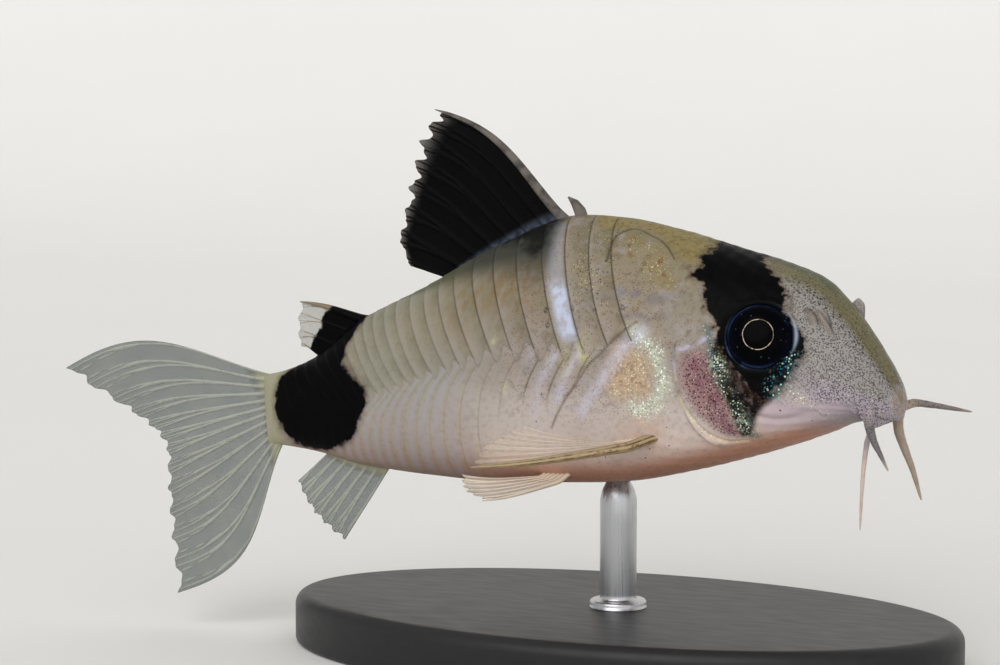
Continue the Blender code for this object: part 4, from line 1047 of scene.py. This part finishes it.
def anal_ray(number, part):
    share = number / (ANAL_RAYS - 1)
    place = ANAL_FROM + (ANAL_TO - ANAL_FROM) * share
    length = ANAL_LENGTH - ANAL_SHORTER * share ** 1.3
    drop = math.radians(ANAL_DROP - ANAL_DROP_LESS * share)
    height = float(section(place)[1])
    tip = (place + length * math.cos(drop), 0.0, height - 0.3 - length * math.sin(drop))
    return posed(straight((place, 0.0, height + 0.2), tip, part))


clear_look, shader = new_look("clear fin skin", 0.35, specular=0.2)
ray, out = reading("ray"), reading("out")
colour = painted(blend(patches(1.5, 0.3, 0.7), tone(92, 100, 98), tone(108, 112, 106)), [
    (between(ray, 0.25, 0.8), tone(164, 166, 156)),
    (times(ray, patches(0.3, 0.5, 0.7, 0.0, 0.35)), tone(104, 106, 98)),
    (between(out, 0.17, 0.07), tone(158, 156, 134)),
])
dress(shader, base_color=colour)
ray_solid, root_solid = between(ray, 0.2, 0.8, 0.55, 0.85), between(out, 0.2, 0.08, 0.5, 1.0)
dress(shader, alpha=sums("MAXIMUM", ray_solid, root_solid))
bumped(shader, clouds(0.2), 0.2, 0.02)
caudal = fin_web(caudal_ray, CAUDAL_RAYS, columns=16, steps=110, web_half=0.04, ray_half=0.13,
                 ray_width=0.15, branch_from=0.3, notch=0.03, fray=0.03, sway=0.3, seed=5)
piece("tail_fin_skin", *caudal[:2], clear_look, "clear_fin", ("caudal_fin",), caudal[2])
adipose_web = fin_web(adipose_ray, len(ADIPOSE_ROOTS), columns=20, steps=50, web_half=0.04, ray_half=0.1,
                      ray_width=0.06, branch_from=0.4, notch=0.05, fray=0.04, sway=0.1, seed=2)
path = adipose_ray(0.0, np.linspace(0, 1, 40))
adipose = merged(adipose_web, spine(path, tapering(40, ADIPOSE_SPINE), ON_FIRST_RAY))
adipose_look, shader = new_look("small fin skin", 0.4, specular=0.04)
ray, out = reading("ray"), reading("out")
black = between(sums("MULTIPLY_ADD", clouds(0.6, 4.0), 0.3, out), 0.72, 0.64)
colour = blend(between(ray, 0.3, 0.9), tone(164, 162, 154), tone(132, 114, 88))
dress(shader, base_color=blend(black, colour, tone(2, 2, 4)))
dress(shader, alpha=sums("MAXIMUM", black, between(ray, 0.3, 0.9, 0.4, 0.9)))
piece("adipose_fin_skin", *adipose[:2], adipose_look, "clear_fin", ("adipose_fin",), adipose[2])
anal = fin_web(anal_ray, ANAL_RAYS, columns=16, steps=70, web_half=0.04, ray_half=0.13,
               ray_width=0.14, branch_from=0.3, notch=0.04, fray=0.03, sway=0.15, seed=4)
piece("anal_fin_skin", *anal[:2], clear_look, "clear_fin", ("anal_fin",), anal[2])

# Breast and belly fins
# Paired cream fins held out and back. Each breast fin has a stout bony spine in front, speckled brown,
# and soft jointed rays in a thin web; the belly fins are smaller and softer.
# Places of the roots behind the snout, their angle and height on the skin, the ways of the first and last
# rays (back, outward and down) and the rays' lengths
PECTORAL = dict(roots=(13.3, 15.2), root_angle=113.0, root_raised=0.45,
                first=(9.8, 4.4, 0.75), last=(5.9, 1.3, -1.7),
                lengths=[10.6, 10.3, 9.8, 9.2, 8.5, 7.7, 6.9, 6.1])
PELVIC = dict(roots=(19.5, 20.9), root_angle=147.0, root_raised=0.15,
              first=(4.9, 2.0, 1.0), last=(5.9, 0.9, -0.35),
              lengths=[5.6, 5.9, 6.1, 6.1, 6.0, 5.8])
PECTORAL_SPINE, PELVIC_SPINE = 0.36, 0.17


def paired_ray(side, roots, root_angle, root_raised, first, last, lengths):
    def ray_at(number, part):
        share = number / (len(lengths) - 1)
        place = roots[0] + (roots[1] - roots[0]) * share
        length = float(smooth_curve(range(len(lengths)), lengths, number))
        across, height = (float(v) for v in around(place, root_angle, root_raised))
        inner, inner_height = (float(v) for v in around(place, root_angle, -0.35))
        way = np.array(first) * (1 - share) + np.array(last) * share
        way /= np.linalg.norm(way)
        tip = (place + way[0] * length, side * (across + way[1] * length), height - way[2] * length)
        outer = straight((place, side * across, height), tip, part, (0.0, side * 0.25, -0.15))
        root = np.array((place, side * inner, inner_height))
        lead = (1 - ease(0.0, 0.16, part))[:, None]
        return posed(outer + (root - outer[0]) * lead)
    return ray_at


def make_cream(name, web_solid, ray_solid):
    made, shader = new_look(name, 0.35, specular=0.25)
    ray, out, across = reading("ray"), reading("out"), reading("across")
    spine_part = sums("LESS_THAN", across, BEFORE_WEB / 2)
    flutes = times(spine_part, between(ray, 0.85, 0.66), patches(0.5, 0.35, 0.6, 0.4, 1.0))
    spots = times(spine_part, between(out, 0.8, 0.1), dots(0.17, 0.5, 0.6, stretch=(0.5, 1, 1)))
    colour = blend(between(ray, 0.2, 0.7), tone(190, 174, 160), tone(224, 208, 186))
    colour = painted(colour, [
        (between(out, 0.4, 0.05, 0.0, 0.5), tone(232, 214, 190)),
        (times(spine_part, 0.9), tone(162, 140, 102)),
        (times(flutes, 0.85), tone(82, 64, 44)),
        (times(spots, 0.75), tone(126, 80, 42)),
    ])
    dress(shader, base_color=colour)
    solid = sums("MAXIMUM", between(ray, 0.3, 0.9, web_solid, ray_solid),
                 between(out, 0.2, 0.04, web_solid, 1.0))
    dress(shader, alpha=sums("MAXIMUM", solid, spine_part))
    dress(shader, subsurface_weight=0.1, subsurface_scale=0.2 * MM)
    bumped(shader, clouds(0.15), 0.3, 0.02)
    return made


pectoral_look = make_cream("breast fin skin", web_solid=0.12, ray_solid=0.45)
pelvic_look = make_cream("belly fin skin", web_solid=0.55, ray_solid=0.85)


def make_paired(kind, look, side, label, facts, thick, spine_across, seed):
    ray_at = paired_ray(side, **facts)
    web = fin_web(ray_at, len(facts["lengths"]), columns=16, steps=80, web_half=0.035, ray_half=0.12,
                  ray_width=0.09, branch_from=0.4, notch=0.05, fray=0.04, sway=0.15, seed=seed)
    path = ray_at(0.0, np.linspace(0, 1, 60))
    radii = tapering(60, [(0, thick), (0.15, thick), (0.75, thick * 0.65), (0.95, thick * 0.3), (1, 0.03)])
    whole = merged(web, spine(path, radii, spine_across))
    piece(kind + "_fin_skin_" + label, *whole[:2], look, "cream_fin", (kind + "_fin_" + label,), whole[2])


for side, label in ((RIGHT, "right"), (LEFT, "left")):
    make_paired("pectoral", pectoral_look, side, label, PECTORAL, PECTORAL_SPINE, BEFORE_WEB, 6 + side)
    make_paired("pelvic", pelvic_look, side, label, PELVIC, PELVIC_SPINE, ON_FIRST_RAY, 9 + side)

# Stand
# A low oval base, turned and satin black, and a brushed steel rod with a small foot. The rod's narrowed
# end is let into the fish's belly.
BASE_LENGTH, BASE_WIDTH, BASE_HEIGHT, BASE_ROUNDING, FOOT_ROUNDING = 42.0, 24.0, 3.0, 0.8, 0.2
SIDE_LEVELS, TOP_INSETS = (0.6, 1.2, 1.8), (0.2, 0.6, 2.0, 5.0)
ROD_RADIUS, ROD_FOOT, ROD_FOOT_HEIGHT, ROD_LET_IN = 1.1, 0.6, 0.45, 0.05
# The rod's narrowed end: insets from its side, and heights over the belly's lowest line
ROD_END = [(0.15, -0.6), (0.4, -0.1), (0.5, 0.4)]
ROD_STRAIGHT_TO = -1.2


def turned(levels, half_length, half_width, sides):
    """Rings of an oval turned piece: each level an inset from its rim and a height, in millimetres"""
    turns = np.arange(sides) * 2 * math.pi / sides
    rings = [[((half_length - inset) * math.cos(turn), (half_width - inset) * math.sin(turn), height)
              for turn in turns] for inset, height in levels]
    return np.array(rings) * MM


def rounded(inset, height, radius, steps):
    """Levels of a rounded edge that turns inward at a height"""
    return [(inset + radius * (1 - math.cos(turn)), height - radius * (1 - math.sin(turn)))
            for turn in np.linspace(0, math.pi / 2, steps)]


base_look, shader = new_look("satin black", 0.42, specular=0.3)
colour = blend(clouds(0.4, 4.0, stretch=(0.2, 1, 1)), tone(26, 26, 28), tone(36, 35, 36))
dress(shader, base_color=colour)
satin = clouds(0.5, 4.0, stretch=(0.2, 1, 1))
dress(shader, roughness=between(satin, 0.3, 0.7, 0.4, 0.46))
levels = [(FOOT_ROUNDING, 0.0), (FOOT_ROUNDING * 0.3, FOOT_ROUNDING * 0.3), (0.0, FOOT_ROUNDING)]
levels += [(0.0, height) for height in SIDE_LEVELS] + rounded(0.0, BASE_HEIGHT, BASE_ROUNDING, 12)
levels += [(BASE_ROUNDING + more, BASE_HEIGHT) for more in TOP_INSETS]
base = turned(levels, BASE_LENGTH / 2, BASE_WIDTH / 2, 256)
piece("base", base, capped(base), base_look, "stand_base", ("stand_base",))

rod_look, shader = new_look("brushed steel", 0.28)
dress(shader, metallic=1.0)
brushing = clouds(0.12, 2.0, stretch=(1, 1, 0.02))
dress(shader, base_color=blend(brushing, tone(168, 170, 174), tone(206, 206, 208)))
dress(shader, roughness=between(brushing, 0.2, 0.8, 0.24, 0.4))
belly = float(skin(ROD_PLACE, 180.0)[2]) / MM
foot_top = BASE_HEIGHT + ROD_FOOT_HEIGHT
levels = [(-ROD_FOOT, BASE_HEIGHT - ROD_LET_IN)] + rounded(-ROD_FOOT, foot_top, 0.2, 5)
levels += [(-0.05, foot_top + 0.01), (0.0, foot_top + 0.1)]
levels += [(0.0, height) for height in np.linspace(foot_top + 0.35, belly + ROD_STRAIGHT_TO, 6)]
levels += [(inset, belly + over) for inset, over in ROD_END]
rod = turned(levels, ROD_RADIUS, ROD_RADIUS, 64)
piece("rod", rod, capped(rod), rod_look, "stand_rod", ("stand_rod",))

# Floor, light and camera
# A plain pale floor and plain soft studio light; the camera looks from the fish's right, a little ahead
# of its side and just above it.


def make_floor():
    """A sheet that runs level to behind the model and then bends upward, all in metres"""
    mesh = bpy.data.meshes.new("floor")
    reach, rows, bend_from, bend, below_base = 3.0, 121, 0.35, 0.3, 0.0001
    lines = np.linspace(-reach, reach, rows)
    x, along = np.meshgrid(lines, lines, indexing="ij")
    turn = np.clip((along - bend_from) / bend, 0.0, math.pi / 2)
    past = np.clip(along - bend_from - bend * math.pi / 2, 0.0, None)
    y = np.minimum(along, bend_from) + bend * np.sin(turn)
    z = bend * (1 - np.cos(turn)) + past - below_base
    mesh.from_pydata(np.stack([x, y, z], -1).reshape(-1, 3).tolist(), [], grid_faces(rows, rows).tolist())
    mesh.shade_smooth()
    made = bpy.data.objects.new("floor", mesh)
    look, shader = new_look("floor", 0.9, specular=0.1)
    colour = blend(clouds(90.0), tone(226, 225, 222), tone(231, 230, 227))
    dress(shader, base_color=colour)
    mesh.materials.append(look)
    bpy.context.scene.collection.objects.link(made)


def sun(name, toward, strength, spread, colour):
    """Even light over the whole scene from the direction given, soft by its spread in degrees"""
    lamp = bpy.data.lights.new(name, "SUN")
    lamp.energy, lamp.angle, lamp.color = strength, math.radians(spread), colour
    made = bpy.data.objects.new(name, lamp)
    made.rotation_euler = aim(toward, (0.0, 0.0, 0.0))
    bpy.context.scene.collection.objects.link(made)


def aim(place, target):
    """Turn that points a light or camera at a target"""
    way = np.array(target) - np.array(place)
    flat = math.hypot(way[0], way[1])
    return (math.atan2(flat, -way[2]), 0.0, math.atan2(way[1], way[0]) - math.pi / 2)


make_floor()
sun("key", (-0.1, -1.0, 0.85), 1.45, 50.0, (1.0, 0.985, 0.96))
sun("fill", (0.7, -0.8, 0.15), 0.5, 70.0, (0.95, 0.97, 1.0))
sun("back", (-0.3, 1.0, 0.8), 0.5, 60.0, (1.0, 1.0, 1.0))
world = bpy.data.worlds.new("studio")
world.use_nodes = True
tree = world.node_tree
direction = tree.nodes.new("ShaderNodeSeparateXYZ")
tree.links.new(tree.nodes.new("ShaderNodeTexCoord").outputs["Generated"], direction.inputs[0])
sky = blend(between(direction.outputs[2], 0.03, 0.5), tone(231, 230, 226), tone(178, 180, 184))
tree.links.new(sky, tree.nodes["Background"].inputs["Color"])
bpy.context.scene.world = world

CAMERA_AZIMUTH, CAMERA_ELEVATION, CAMERA_DISTANCE, CAMERA_LENS = 25.0, 5.0, 0.168, 100.0
CAMERA_TARGET = np.array((-7.794, 0.0, 19.133)) * MM
turn, lift = math.radians(CAMERA_AZIMUTH), math.radians(CAMERA_ELEVATION)
backward = np.array((math.sin(turn) * math.cos(lift), -math.cos(turn) * math.cos(lift), math.sin(lift)))
camera_data = bpy.data.cameras.new("camera")
camera_data.lens, camera_data.sensor_width = CAMERA_LENS, 36.0
camera_data.clip_start, camera_data.clip_end = 0.01, 20.0
camera = bpy.data.objects.new("camera", camera_data)
camera.location = CAMERA_TARGET + backward * CAMERA_DISTANCE
camera.rotation_euler = aim(camera.location, CAMERA_TARGET)
bpy.context.scene.collection.objects.link(camera)
bpy.context.scene.camera = camera

bpy.context.scene.view_settings.view_transform = "Standard"
